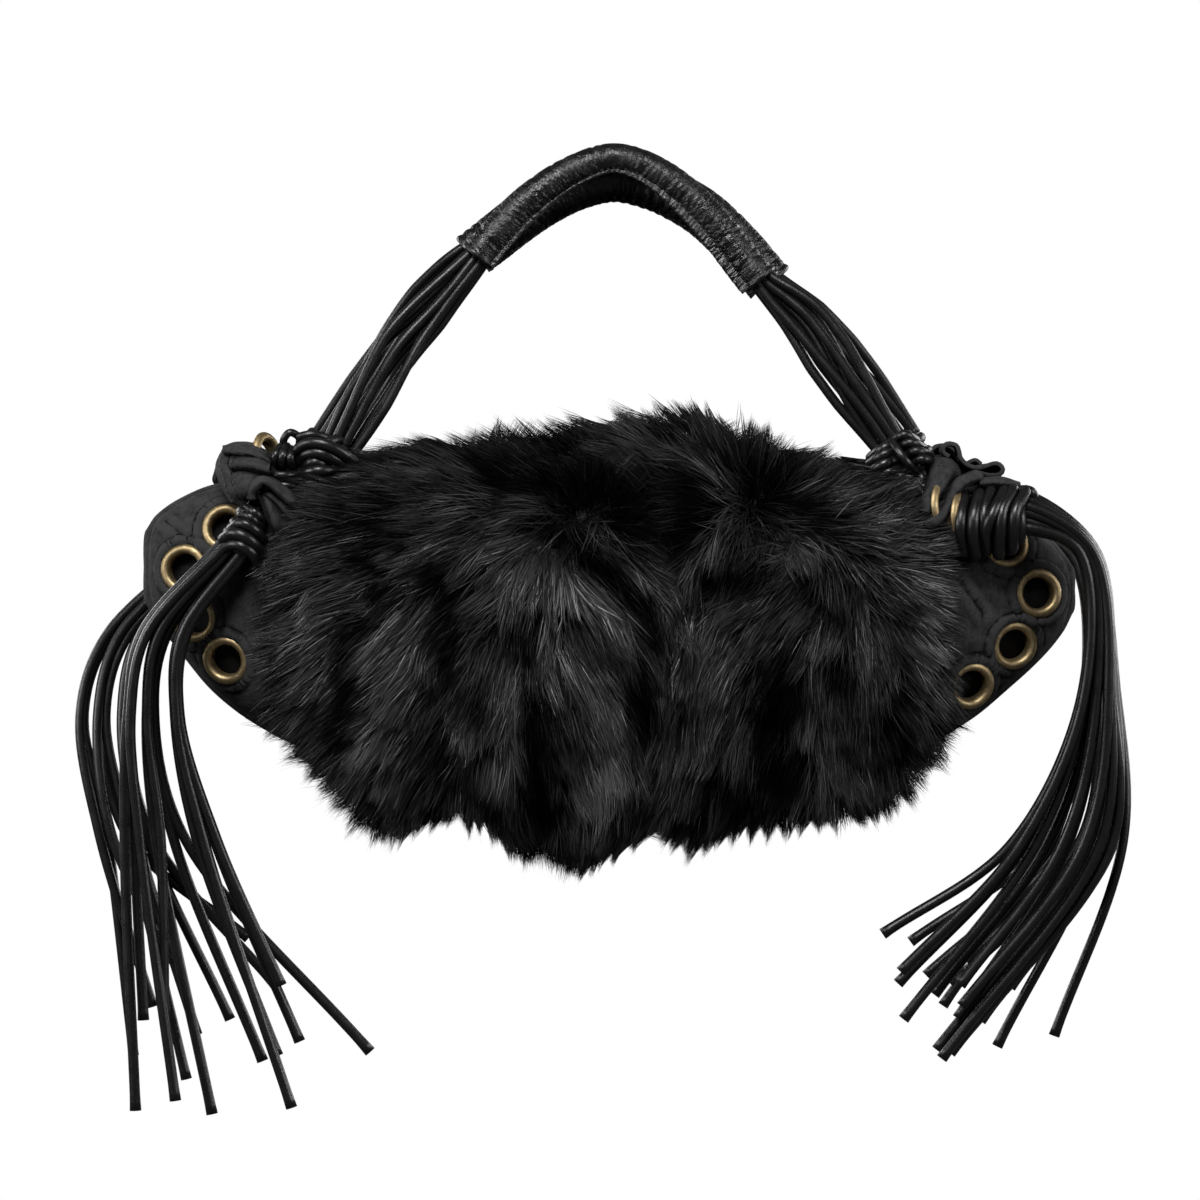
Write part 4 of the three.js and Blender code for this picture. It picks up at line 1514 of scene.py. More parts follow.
    def build(self) -> None:
        """Makes the skin and the hair and rides them."""
        node = f"fur_{self.face.word}"
        settle(self.skin_piece(), (node,))
        root, middle, tip, out, tone = self.comb()
        order = np.argsort(root[:, 0], kind="stable")
        for k, chosen in enumerate(np.array_split(order, self.parts)):
            hairs = (rows[chosen] for rows in (root, middle, tip, out, tone))
            settle(self.hair_piece(f"long_hair_{self.face.word}_{k + 1}", *hairs), (node,))


# ------------------------------------------------------------------------------ leather and brass


@dataclass
class StitchRun:
    """Short thread stitches gathered into one mesh.

    Attributes:
        long: A stitch's length.
        wide: Its width.
        parts: The stitches that are laid so far.
    """

    long: float = 2.0
    wide: float = 0.62
    parts: list[tuple[Array, Array, Array]] = field(default_factory=list)

    def sew(self, path: Path, normals: Array, pitch: float = 3.1) -> None:
        """Lays stitches along a line on a surface.

        Args:
            path: The line as rows.
            normals: The surface's outward directions there.
            pitch: From one stitch to the next.
        """
        run = lengths_along(path)
        count = max(2, int(run[-1] / pitch))
        wanted = (np.arange(count) + 0.5) * run[-1] / count
        place, out = read_along(wanted, run, path), read_along(wanted, run, normals)
        along = read_along(wanted + 0.5, run, path) - read_along(wanted - 0.5, run, path)
        self.parts.append((place, unit(along), unit(out)))

    def build(self, name: str, finish: Material) -> Piece:
        """All the stitches as one object.

        Args:
            name: The object's name.
            finish: The thread's material.

        Returns:
            The stitches.
        """
        only_stitch = self.one_stitch()
        shape = np.array([v.co for v in only_stitch.data.vertices])
        faces = [list(p.vertices) for p in only_stitch.data.polygons]
        bpy.data.objects.remove(only_stitch)
        points, polygons = [], []
        for place, along, out in self.parts:
            side = np.cross(out, along)
            for p, t, s, o in zip(place, along, side, out):
                polygons += [[k + len(shape) * len(points) for k in face] for face in faces]
                points.append(p + shape[:, :1] * t + shape[:, 1:2] * s + shape[:, 2:] * o)
        return piece_from(name, np.vstack(points), polygons, finish)

    def one_stitch(self) -> Piece:
        """A single stitch about the origin, along +X, in millimetres.

        Returns:
            The stitch.
        """
        bpy.ops.object.select_all(action="DESELECT")
        bpy.ops.mesh.primitive_cylinder_add(vertices=6, radius=self.wide / 2, depth=self.long * 0.62)
        stitch = bpy.context.object
        bpy.ops.object.mode_set(mode="EDIT")
        mesh = bmesh.from_edit_mesh(stitch.data)
        for end in (-1, 1):
            for face in mesh.faces:
                face.select_set(face.normal.z * end > 0.9)
            bmesh.update_edit_mesh(stitch.data)
            bpy.ops.mesh.extrude_region_move(TRANSFORM_OT_translate={"value": (0, 0, end * self.long * 0.19)})
            bpy.ops.transform.resize(value=(0.45, 0.45, 1))
        bpy.ops.object.mode_set(mode="OBJECT")
        stitch.data.transform(Matrix.Rotation(math.pi / 2, 4, "Y"))
        return stitch


@dataclass
class EyeletMould:
    """A rolled metal eyelet: a domed crown that dives into a barrel.

    Attributes:
        profile: Radii and heights from the barrel's foot round the crown and back under it.
        sides: How many sides the ring has.
    """

    profile: tuple[Pair, ...] = (
        (6.95, -3.0), (6.85, -1.2), (6.8, 0.3), (6.95, 1.4), (7.45, 2.3), (8.2, 2.8), (9.1, 2.85),
        (9.95, 2.45),
        (10.6, 1.75), (10.95, 1.0), (10.95, 0.3), (10.0, 0.1), (8.3, 0.1), (8.1, -3.0),
    )  # fmt: skip
    sides: int = 48

    def cast(self, finish: Material) -> Piece:
        """Makes one eyelet about the origin, with its crown along +Z, in millimetres.

        Args:
            finish: The brass.

        Returns:
            The eyelet.
        """
        bpy.ops.object.select_all(action="DESELECT")
        radius, height = self.profile[0]
        bpy.ops.mesh.primitive_circle_add(vertices=self.sides, radius=radius, location=(0, 0, height))
        eyelet = bpy.context.object
        bpy.ops.object.transform_apply(location=True)
        bpy.ops.object.mode_set(mode="EDIT")
        for (r0, z0), (r1, z1) in zip(self.profile, self.profile[1:]):
            bpy.ops.mesh.extrude_region_move(TRANSFORM_OT_translate={"value": (0, 0, z1 - z0)})
            bpy.ops.transform.resize(value=(r1 / r0, r1 / r0, 1), center_override=(0, 0, 0))
        mesh = bmesh.from_edit_mesh(eyelet.data)
        for edge in mesh.edges:
            edge.select_set(edge.is_boundary)
        bmesh.update_edit_mesh(eyelet.data)
        bpy.ops.mesh.bridge_edge_loops()
        bpy.ops.mesh.select_all(action="SELECT")
        bpy.ops.mesh.normals_make_consistent(inside=False)
        bpy.ops.object.mode_set(mode="OBJECT")
        layer = eyelet.data.uv_layers.new(name="UVMap")
        heights = np.array([v.co.z for v in eyelet.data.vertices])
        bright = np.clip((heights - 0.2) / 2.2, 0.0, 1.0)
        for loop in eyelet.data.loops:
            co = eyelet.data.vertices[loop.vertex_index].co
            layer.data[loop.index].uv = (math.atan2(co.y, co.x) / TURN, bright[loop.vertex_index])
        eyelet.data.materials.append(finish)
        shade_smooth(eyelet.data)
        return eyelet

    def press(self, mould: Piece, name: str, place: Array, out: Array) -> Piece:
        """Copies the eyelet to its place.

        Args:
            mould: The eyelet about the origin.
            name: The copy's name.
            place: Where it sits.
            out: Where its crown faces.

        Returns:
            The copy.
        """
        copy = linked(name, mould.data.copy())
        copy.data.transform(Matrix.Scale(MM, 4) @ Matrix.Translation(Vector(place)) @ facing(out))
        copy.data.name = name
        return copy


@dataclass
class LeatherEnd:
    """A bare leather end with its eyelets, puckered holes, seams and lining.

    Attributes:
        side: Which end.
        finishes: The bag's finishes.
        mould: The eyelets' mould.
        cast: One eyelet about the origin.
        eyelets: Their places in X and Z.
        dart: The sewn dart's line in X and Z.
        columns: How many rings of points run from the seam to the tip.
        around: How many points a ring has.
        hole: The radius of the eyelets' holes.
        lip: How far from an eyelet's middle the leather stands up round it.
        sewn: How far from its middle the stitches run.
        dome: How far the tip is domed.
        opened: How far the eyelets are turned to their face.
    """

    side: Side
    finishes: Finishes
    mould: EyeletMould
    cast: Piece
    eyelets: tuple[Pair, ...]
    dart: tuple[Pair, ...]
    columns: int = 64
    around: int = 200
    hole: float = 7.4
    lip: float = 12.4
    sewn: float = 14.9
    dome: float = 1.4
    opened: float = 0.45

    def seats(self) -> list[tuple[Array, Array]]:
        """Places and outward directions of the eyelets, front first.

        Returns:
            Pairs of place and direction.
        """
        rows = []
        for face in SIGNS:
            for x, z in self.eyelets:
                turn = FORM.turn_at(np.array([x]), np.array([z]))
                out = FORM.outward(np.array([x]), turn, face)[0]
                out = unit(out + np.array([0, self.opened * face, 0]))
                rows.append((FORM.surface([x], turn, face)[0], out))
        return rows

    def relief(self, points: Array) -> Array:
        """How far the leather stands out: puckers round the holes, seams and soft dents.

        Args:
            points: Places on the leather.

        Returns:
            Heights above the plain form.
        """
        rim = smoothstep(np.abs(points[:, 1]), 2.5, 9.0)
        x, z = points[:, 0], points[:, 2]
        height = 0.8 * np.sin(x / 9 + z / 13) * np.cos(z / 11 - x / 17)
        height += 0.4 * np.sin(x / 4.1 - z / 5.3) * np.sin(z / 7.7)
        for k, (place, out) in enumerate(self.seats()):
            offset = points - place
            away = offset - (offset @ out)[:, None] * out
            r = np.linalg.norm(away, axis=1)
            near = np.abs(offset @ out) < 9
            angle = np.arctan2(away[:, 2], away[:, 0])
            ripple = 1 + 0.14 * np.sin(7 * angle + k) * np.cos(3 * angle + 2 * k)
            lip = 1.35 * np.exp(-(((r - self.lip) / 0.8) ** 2)) * ripple
            groove = -0.6 * np.exp(-(((r - 14.1) / 0.8) ** 2))
            seat = -0.6 * (1 - smoothstep(r, 10.6, 11.6))
            rays = 0.25 * np.exp(-(((r - 17.5) / 3.0) ** 2)) * np.sin(9 * angle + 3 * k)
            worked = height * smoothstep(r, 10.0, 16.0) + 1.3 * lip + groove + seat + rays
            height = np.where(near, worked, height)
        height = height * rim
        edge = np.abs(points[:, 1])
        height += 0.7 * np.exp(-((edge / 1.4) ** 2)) - 0.45 * np.exp(-(((edge - 3.0) / 0.8) ** 2))
        for face in SIGNS:
            line = self.dart_line(face)
            gap = np.linalg.norm(points[:, None] - line[None], axis=2).min(axis=1)
            height += 0.8 * np.exp(-(((gap - 2.8) / 1.3) ** 2)) - 1.3 * np.exp(-((gap / 1.0) ** 2))
        return height

    def dart_line(self, face: float) -> Path:
        """The sewn dart on a face.

        Args:
            face: -1 for the front and 1 for the back.

        Returns:
            Its line on the leather.
        """
        flat = curve_through([(x, 0.0, z) for x, z in self.dart], 40)
        return FORM.surface(flat[:, 0], FORM.turn_at(flat[:, 0], flat[:, 2]), face)

    def shell(self, name: str, offset: float, finish: Material, worked: bool) -> Piece:
        """A closed-ended shell in the form of the end.

        Args:
            name: The piece's name.
            offset: How far out from the leather's outer face.
            finish: Its material.
            worked: Whether it has the leather's relief.

        Returns:
            The shell.
        """
        s = self.side.value
        start = s * (SEAM_X - 3.0)
        tip = FORM.sections[0 if s < 0 else -1][0] - s * max(0.0, -offset)
        rings = []
        for i in range(self.columns + 1):
            x = start + (tip - start) * math.sin(i / self.columns * math.pi / 2)
            turn = np.linspace(0, TURN, self.around, endpoint=False)
            rings.append(FORM.surface(np.full(self.around, x), turn, 1.0, offset))
        points = np.array(rings)
        if worked:
            along = np.gradient(points, axis=0)
            round_ = np.roll(points, -1, axis=1) - np.roll(points, 1, axis=1)
            out = unit(np.cross(round_, along)) * s
            centre = points.mean(axis=1, keepdims=True)
            out *= np.where(np.sum(out * (points - centre), axis=2, keepdims=True) < 0, -1, 1)
            flat = points.reshape(-1, 3)
            fade = smoothstep(np.abs(flat[:, 0]), SEAM_X + 1, SEAM_X + 8)
            points = (flat + out.reshape(-1, 3) * (self.relief(flat) * fade)[:, None]).reshape(points.shape)
        middle = points[-1].mean(axis=0)
        for turn in np.linspace(0, math.pi / 2, 7)[1:-1]:
            ring = middle + (points[self.columns] - middle) * math.cos(turn) ** 0.8
            points = np.vstack([points, ring[None] + [s * self.dome * math.sin(turn), 0, 0]])
        n = self.around
        faces = grid_faces(len(points), n, closed_columns=True)
        last = (len(points) - 1) * n
        flat = np.vstack([points.reshape(-1, 3), middle + [s * self.dome, 0, 0]])
        faces += [[last + j, last + (j + 1) % n, len(flat) - 1] for j in range(n)]
        return piece_from(name, flat, faces if s > 0 else [face[::-1] for face in faces], finish)

    def punch(self, shell: Piece) -> None:
        """Cuts the eyelets' holes through the leather.

        Args:
            shell: The leather, with its thickness.
        """
        cutters = []
        for place, out in self.seats():
            bpy.ops.object.select_all(action="DESELECT")
            bpy.ops.mesh.primitive_cylinder_add(vertices=40, radius=self.hole * MM, depth=11 * MM)
            cutter = bpy.context.object
            cutter.data.transform(Matrix.Translation(Vector(place) * MM) @ facing(out))
            cutters.append(cutter)
        tool = joined("hole_punch", cutters)
        cut = shell.modifiers.new("holes", "BOOLEAN")
        cut.operation = "DIFFERENCE"
        cut.solver = "EXACT"
        cut.use_self = True
        cut.object = tool
        apply_modifiers(shell)
        bpy.data.objects.remove(tool)

    def thread(self) -> Piece:
        """The stitches round the eyelets and along the dart.

        Returns:
            The stitches.
        """
        run = StitchRun(long=1.7, wide=0.6)
        for place, out in self.seats():
            turn = np.linspace(0, TURN, 60)
            x = np.clip(place[0] + self.sewn * np.cos(turn), -203.5, 198.5)
            z = place[2] + self.sewn * np.sin(turn)
            top, bottom, _ = FORM.section(x).T
            keep = (z < top - 4) & (z > bottom + 4) & (np.abs(x) > SEAM_X + 6)
            if keep.sum() < 12:
                continue
            shift = np.argmin(keep) if not keep.all() else 0
            x, z, keep = np.roll(x, -shift), np.roll(z, -shift), np.roll(keep, -shift)
            x, z = x[keep], z[keep]
            face = math.copysign(1.0, place[1])
            at = FORM.turn_at(x, z)
            normal = FORM.outward(x, at, face)
            ring = FORM.surface(x, at, face)
            lift = self.relief(ring)[:, None]
            run.sew(ring + normal * (lift + 0.1), normal, 3.0)
        for face in SIGNS:
            line = self.dart_line(face)
            normal = FORM.outward(line[:, 0], FORM.turn_at(line[:, 0], line[:, 2]), face)
            lift = self.relief(line)[:, None]
            run.sew(line + normal * (lift + 0.25), normal, 3.2)
        return run.build(f"end_stitches_{self.side.word}", self.finishes.thread)

    def build(self) -> None:
        """Makes the leather, its lining, eyelets and thread, and rides them."""
        word = self.side.word
        leather = self.shell(f"leather_end_{word}", 0.0, self.finishes.nubuck, True)
        thickened(leather, LEATHER, -1.0)
        apply_modifiers(leather)
        self.punch(leather)
        shade_smooth(leather.data)
        settle(leather, (f"end_{word}",))
        self.columns, self.around = 20, 60
        settle(self.shell(f"lining_{word}", -4.6, self.finishes.lining, False))
        for k, (place, out) in enumerate(self.seats()):
            node = f"eyelet_{word}_{k + 1}"
            ring = self.mould.press(self.cast, f"brass_{node}", place, out)
            settle(ring, (node,))
        settle(self.thread())


@dataclass
class InnerWall:
    """The leather wall under a fur panel, with a turned and sewn hem at the mouth.

    Attributes:
        face: Which face.
        finishes: The bag's finishes.
    """

    face: Face
    finishes: Finishes

    def build(self) -> None:
        """Makes the wall and its hem stitches and rides them."""
        columns, rows = 96, 44
        sheets = []
        for offset in (0.0, -LEATHER):
            grid = []
            for x in np.linspace(-SEAM_X, SEAM_X, columns + 1):
                turn = np.linspace(FORM.mouth_turn(x)[0], math.pi, rows + 1)
                share = np.arange(rows + 1) / rows
                hem = 0.9 * (1 - smoothstep(share, 0.05, 0.075)) * (1.0 if offset == 0.0 else -1.0)
                place = np.full(rows + 1, x)
                grid.append(FORM.surface(place, turn, float(self.face.value), offset + 0.2 * hem))
            sheets.append(np.array(grid))
        outer, inner = sheets
        for sheet in sheets:
            sheet[..., 1] = self.face.value * np.maximum(np.abs(sheet[..., 1]), GAP / 2)
        n = rows + 1
        points = np.vstack([outer.reshape(-1, 3), inner.reshape(-1, 3)])
        base = (columns + 1) * n
        faces = []
        for i in range(columns):
            for j in range(rows):
                a = i * n + j
                faces.append([a, a + n, a + n + 1, a + 1])
                faces.append([base + a, base + a + 1, base + a + n + 1, base + a + n])
            faces.append([i * n, base + i * n, base + (i + 1) * n, (i + 1) * n])
            a = i * n + rows
            faces.append([a, a + n, base + a + n, base + a])
        for j in range(rows):
            faces.append([j, j + 1, base + j + 1, base + j])
            a = columns * n + j
            faces.append([a, base + a, base + a + 1, a + 1])
        if self.face is Face.FRONT:
            faces = [face[::-1] for face in faces]
        wall = piece_from(f"leather_wall_{self.face.word}", points, faces, self.finishes.lining)
        settle(wall, (f"wall_{self.face.word}",))
        run = StitchRun()
        hem = inner[6:-6, 3]
        turn = FORM.turn_at(hem[:, 0], hem[:, 2])
        run.sew(hem, FORM.outward(hem[:, 0], turn, self.face.value) * -1.0, 3.4)
        settle(run.build(f"mouth_stitches_{self.face.word}", self.finishes.thread))


# --------------------------------------------------------------------------- handles and corners


@dataclass
class Handle:
    """One handle: a bundle of round cords that runs from knot to knot through a leather grip.

    Attributes:
        face: Which face it rises from.
        finishes: The bag's finishes.
        apex_y: Its distance from the middle plane at the crest.
        end_y: The same at the knots.
        grip: Start and end of the sleeve along the bag.
        girth: Rows of x and the sleeve's half height and half depth.
        stations: Rows of x, z and the bundle's half width in the arch's plane.
        flange: Rows of x and how far the sleeve's sewn edge stands out there.
        frill: The middle and half length of the stretch that is bunched up, and how deeply.
        strands: How many cords run side by side.
        cord: A cord's radius.
        crinkles: How many fine crinkles cross the sleeve.
        rings: How many rings of points the sleeve has.
        hem: How far the stitches lie from its ends.
    """

    face: Face
    finishes: Finishes
    apex_y: float
    end_y: float
    grip: Pair
    girth: tuple[Triple, ...]
    stations: tuple[Triple, ...]
    flange: tuple[Pair, ...]
    frill: Triple
    strands: int = 6
    cord: float = CORD_RADIUS * 0.93
    crinkles: int = 190
    rings: int = 270
    hem: float = 3.1

    def line(self, count: int) -> tuple[Path, Array]:
        """The bundle's middle line and its half sizes there.

        Args:
            count: How many samples.

        Returns:
            The line and the half widths.
        """
        rows = np.array(self.stations, float)
        drop = smoothstep(np.abs(rows[:, 0]), 60, 116)
        y = self.face.value * (self.apex_y + (self.end_y - self.apex_y) * drop)
        line = curve_through(np.stack([rows[:, 0], y, rows[:, 1]], axis=1), count)
        return line, np.interp(line[:, 0], rows[:, 0], rows[:, 2])

    def frames(self, line: Path) -> tuple[Array, Array]:
        """Directions across the line, in the arch's plane and in depth.

        Args:
            line: The middle line.

        Returns:
            Outward and depthward directions.
        """
        tangent = unit(np.gradient(line, axis=0))
        up = unit(np.stack([-tangent[:, 2], np.zeros(len(line)), tangent[:, 0]], axis=1))
        return up, np.cross(tangent, up)

    def cords(self) -> Piece:
        """The bundle of cords.

        Returns:
            The cords as one piece.
        """
        random = np.random.default_rng(21 + self.face.value)
        line, half = self.line(170)
        up, across = self.frames(line)
        away = np.abs(line[:, 0])
        swap = smoothstep(away, 80, 116)
        loose = smoothstep(away, 54, 74)
        run = TubeRun(sides=12)
        for k, (left, right) in enumerate(zip((1, 0, 3, 2, 5, 4), (0, 2, 1, 4, 3, 5))):
            crossed = np.where(line[:, 0] < 0, left, right)
            rank = k + (crossed - k) * swap
            place = 2 * rank / (self.strands - 1) - 1
            sway = 1.0 * np.sin(line[:, 0] / random.uniform(9, 16) + random.uniform(0, 6)) * loose
            row = 1 if k % 2 else -1
            u = place * (half - CORD_RADIUS) + sway
            v = row * (1.5 + 0.85 * loose + 0.5 * loose * np.sin(line[:, 0] / 30 + k))
            run.add(line + up * u[:, None] + across * v[:, None], self.cord)
        return run.build(f"cords_{self.face.word}", self.finishes.cord)

    def creases(self, run: Array, along: Array, turn: Array) -> Array:
        """The grip's relief: fine crinkles across it, bunched folds inside its bend and rolled ends.

        Args:
            run: Lengths along the sleeve.
            along: The same places along the bag.
            turn: Angles round the sleeve, 0 at its outer side and a quarter turn at its front.

        Returns:
            Heights, one row for each length.
        """
        random = np.random.default_rng(31 + self.face.value)
        relief = np.zeros((len(run), len(turn)))
        for _ in range(self.crinkles):
            at, middle = random.uniform(4, run[-1] - 4), random.uniform(0, TURN)
            away = (turn - middle + math.pi) % TURN - math.pi
            slant = at + random.normal(0, 1.6) * np.sin(away) - run[:, None]
            fold = np.exp(-((slant / random.uniform(0.45, 0.95)) ** 2))
            relief -= random.uniform(0.08, 0.34) * fold * np.exp(-((away / random.uniform(0.4, 1.5)) ** 2))
        middle, reach, depth = self.frill
        bend = np.exp(-(((along - middle) / reach) ** 2))[:, None] * smoothstep(-np.cos(turn), -0.1, 0.8)
        phase = run[:, None] * 1.25 + 0.8 * np.sin(run / 6)[:, None] + 0.5 * np.sin(turn)
        relief += depth * bend * np.sin(phase)
        relief += 0.3 * np.sin(run / 13 + 1)[:, None] * np.cos(turn + run[:, None] / 31)
        from_end = np.minimum(run, run[-1] - run)[:, None]
        roll = 0.6 * np.exp(-(((from_end - 1.1) / 0.9) ** 2))
        roll = roll - 0.35 * np.exp(-(((from_end - 3.1) / 0.5) ** 2))
        return relief * smoothstep(from_end, 2.0, 4.5) + roll

    def sleeve_frame(self) -> tuple[Path, Array, Array, Array, Array, Array]:
        """The grip's middle line and what lies along it.

        Returns:
            The line, its outward and depthward directions, the lengths along it, and the sleeve's half
            heights and half depths.
        """
        line, _ = self.line(1400)
        inside = (line[:, 0] >= self.grip[0]) & (line[:, 0] <= self.grip[1])
        line = evenly(line[inside], self.rings)
        up, across = self.frames(line)
        girth = np.array(self.girth)
        high, deep = (np.interp(line[:, 0], girth[:, 0], girth[:, k]) for k in (1, 2))
        return line, up, across, lengths_along(line), high, deep

    def sleeve(self) -> Piece:
        """The crinkled leather grip and its sewn edge.

        Returns:
            The grip.
        """
        line, up, across, run, high, deep = self.sleeve_frame()
        turn = np.linspace(0, TURN, 97)
        relief = self.creases(run, line[:, 0], turn)

        def wrap(rows: Array, depth: Array | float, slide: float) -> Array:
            """One layer of the sleeve.

            Args:
                rows: The rows of the line that it has.
                depth: How far it is set in.
                slide: How far it is slid along.

            Returns:
                Its points, ring by ring.
            """
            u = (high[rows][:, None] - depth) * np.cos(turn)
            v = (deep[rows][:, None] - depth) * np.sin(turn)
            tangent = unit(np.gradient(line, axis=0))[rows]
            ring = line[rows][:, None] + up[rows][:, None] * u[..., None]
            return ring + across[rows][:, None] * v[..., None] + slide * tangent[:, None]

        every = np.arange(len(line))
        inside = every[::-6]
        layers = [
            wrap(every, -relief, 0.0), wrap(every[-1:], 0.5, 0.35), wrap(every[-1:], 1.3, 0.1),
            wrap(inside, 1.7, 0.0), wrap(every[:1], 1.3, -0.1), wrap(every[:1], 0.5, -0.35),
        ]  # fmt: skip
        grid = np.vstack(layers)
        lengths = np.concatenate([run, run[-1:], run[-1:], run[inside], run[:1], run[:1]])
        uvs = np.stack(np.broadcast_arrays(turn[None] * 8.0 / 20, lengths[:, None] / 20), axis=2)
        faces = grid_faces(len(grid), len(turn), closed_rows=True)
        name = f"grip_sleeve_{self.face.word}"
        tube = piece_from(name, grid.reshape(-1, 3), faces, self.finishes.grip, uvs.reshape(-1, 2))
        return joined(name, [tube, self.sewn_edge(line, up, across, run, high, deep)])

    def sewn_edge(
        self, line: Path, up: Array, across: Array, run: Array, high: Array, deep: Array
    ) -> Piece:
        """The raw ruffled edge that stands off the grip's lower front.

        Args:
            line: The sleeve's middle line.
            up: Directions away from the arch's middle.
            across: Directions to the front.
            run: Lengths along it.
            high: The sleeve's half heights.
            deep: Its half depths.

        Returns:
            The edge, as a thin wall.
        """
        stops = np.array(self.flange)
        reach = np.interp(line[:, 0], stops[:, 0], stops[:, 1])
        seat, lean = math.radians(146 if self.face is Face.FRONT else 172), math.radians(168)
        middle, length, depth = self.frill
        bunched = np.exp(-(((line[:, 0] - middle) / length) ** 2))
        shares = np.linspace(-0.25, 1, 7)
        rows = []
        for share in shares:
            out = reach * share
            wave = (0.25 + 0.9 * bunched * depth) * max(share, 0) * np.sin(run * 1.25 + 0.9 * np.sin(run / 5))
            wave = wave + 0.25 * max(share, 0) * np.sin(run * 2.9)
            u = (high - 0.3) * math.cos(seat) + out * math.cos(lean)
            v = (deep - 0.3) * math.sin(seat) + out * math.sin(lean) + wave
            rows.append(line + up * (u + 0.3 * wave)[:, None] + across * v[:, None])
        grid = np.array(rows)
        n = len(line)
        faces = [face for face in grid_faces(len(shares), n) if 2 <= face[0] % n < n - 3]
        uvs = np.stack(np.broadcast_arrays(np.arange(len(shares))[:, None] / 40, run[None] / 20), axis=2)
        edge = piece_from("sewn_edge", grid.reshape(-1, 3), faces, self.finishes.grip, uvs.reshape(-1, 2))
        thickened(edge, 1.1, 0.0)
        apply_modifiers(edge)
        return edge

    def thread(self) -> Piece:
        """The stitches round the grip's ends and along its seam.

        Returns:
            The stitches.
        """
        line, up, across, run, high, deep = self.sleeve_frame()
        sewing = StitchRun(long=1.6, wide=0.4)
        turn = np.linspace(0, TURN, 60)[:, None]
        for length in (self.hem, run[-1] - self.hem):
            k = int(np.searchsorted(run, length))
            out = up[k] * np.cos(turn) * high[k] + across[k] * np.sin(turn) * deep[k]
            sewing.sew(line[k] + out * 0.965, unit(out), 2.6)
        seat = math.radians(136 if self.face is Face.FRONT else 150)
        out = up * (high * math.cos(seat))[:, None] + across * (deep * math.sin(seat))[:, None]
        sewing.sew((line + out * 0.985)[12:-12], unit(out)[12:-12], 2.6)
        return sewing.build(f"grip_stitches_{self.face.word}", self.finishes.thread)

    def build(self) -> None:
        """Makes the cords and the grip and rides them."""
        word = self.face.word
        settle(self.cords(), (f"handle_cords_{word}",))
        settle(self.sleeve(), (f"grip_{word}",))
        settle(self.thread())


@dataclass(frozen=True)
class Winding:
    """Turns of cord round an axis.

    Attributes:
        centre: The middle of the winding.
        axis: The direction that it winds round.
        wide: Its radius across, seen from the front.
        deep: Its radius in depth.
        turns: How many turns lie side by side.
        pitch: From one turn to the next.
        cord: The cord's radius.
        jitter: How unevenly the turns lie.
    """

    centre: Triple
    axis: Triple
    wide: float
    deep: float
    turns: int
    pitch: float = 4.8
    cord: float = 2.6
    jitter: float = 0.12

    def lay(self, run: TubeRun, random: np.random.Generator) -> None:
        """Adds the turns to a run of cord.

        Args:
            run: The run to add to.
            random: Seeded random numbers.
        """
        axis = unit(np.array(self.axis, float))
        depth = np.array([0.0, 1.0, 0.0])
        upright = abs(axis[1]) < NEARLY_ALONG
        depth = unit(depth - np.dot(depth, axis) * axis) if upright else np.array([0.0, 0.0, 1.0])
        across = np.cross(axis, depth)
        turn = np.linspace(0, TURN, 40, endpoint=False)
        for k in range(self.turns):
            along = (k - (self.turns - 1) / 2) * self.pitch
            belly = 1 - 0.12 * (2 * along / max(self.turns * self.pitch, 1e-6)) ** 2
            tilt = random.normal(0, self.jitter, 2)
            swell = 1 + random.normal(0, 0.03)
            ring = (
                np.array(self.centre)
                + across * (np.cos(turn) * (self.wide - self.cord * 0.5) * belly * swell)[:, None]
                + depth * (np.sin(turn) * (self.deep - self.cord * 0.5) * belly * swell)[:, None]
                + axis * (along + self.wide * (tilt[0] * np.cos(turn) + tilt[1] * np.sin(turn + 1)))[:, None]
            )
            run.add(ring, self.cord, closed=True)


@dataclass(frozen=True)
class Hoop:
    """One turn of cord that is seen from the front as a bent band and closes behind.

    Attributes:
        seen: The band's middle line, as x and z from side to side.
        front: How far towards the front its crown lies, as y.
        back: How far back it closes.
        cord: The cord's radius.
    """

    seen: tuple[Pair, ...]
    front: float
    back: float
    cord: float = 2.3

    def lay(self, run: TubeRun, random: np.random.Generator) -> None:
        """Adds the turn to a run of cord.

        Args:
            run: The run to add to.
            random: Seeded random numbers, not drawn from.
        """
        band = curve_through([(x, 0.0, z) for x, z in self.seen], 9)
        middle, bow = (self.front + self.back) / 2, (self.front - self.back) / 2
        round_ = np.linspace(0.1, 0.9, 9) * math.pi
        heart = band.mean(axis=0)
        near = band + np.outer(np.sin(round_) * bow + middle, [0, 1, 0])
        far = heart + (band - heart) * 0.94 + np.outer(middle - np.sin(round_) * bow, [0, 1, 0])
        run.add(loop_through(np.vstack([near, far[::-1]]), 46), self.cord, closed=True)


@dataclass(frozen=True)
class Bight:
    """A short free length of cord.

    Attributes:
        points: The places it passes.
        cord: Its radius.
    """

    points: tuple[Triple, ...]
    cord: float = 2.2

    def lay(self, run: TubeRun, random: np.random.Generator) -> None:
        """Adds the length to a run of cord.

        Args:
            run: The run to add to.
            random: Seeded random numbers, not drawn from.
        """
        run.add(curve_through(self.points, 26), self.cord)


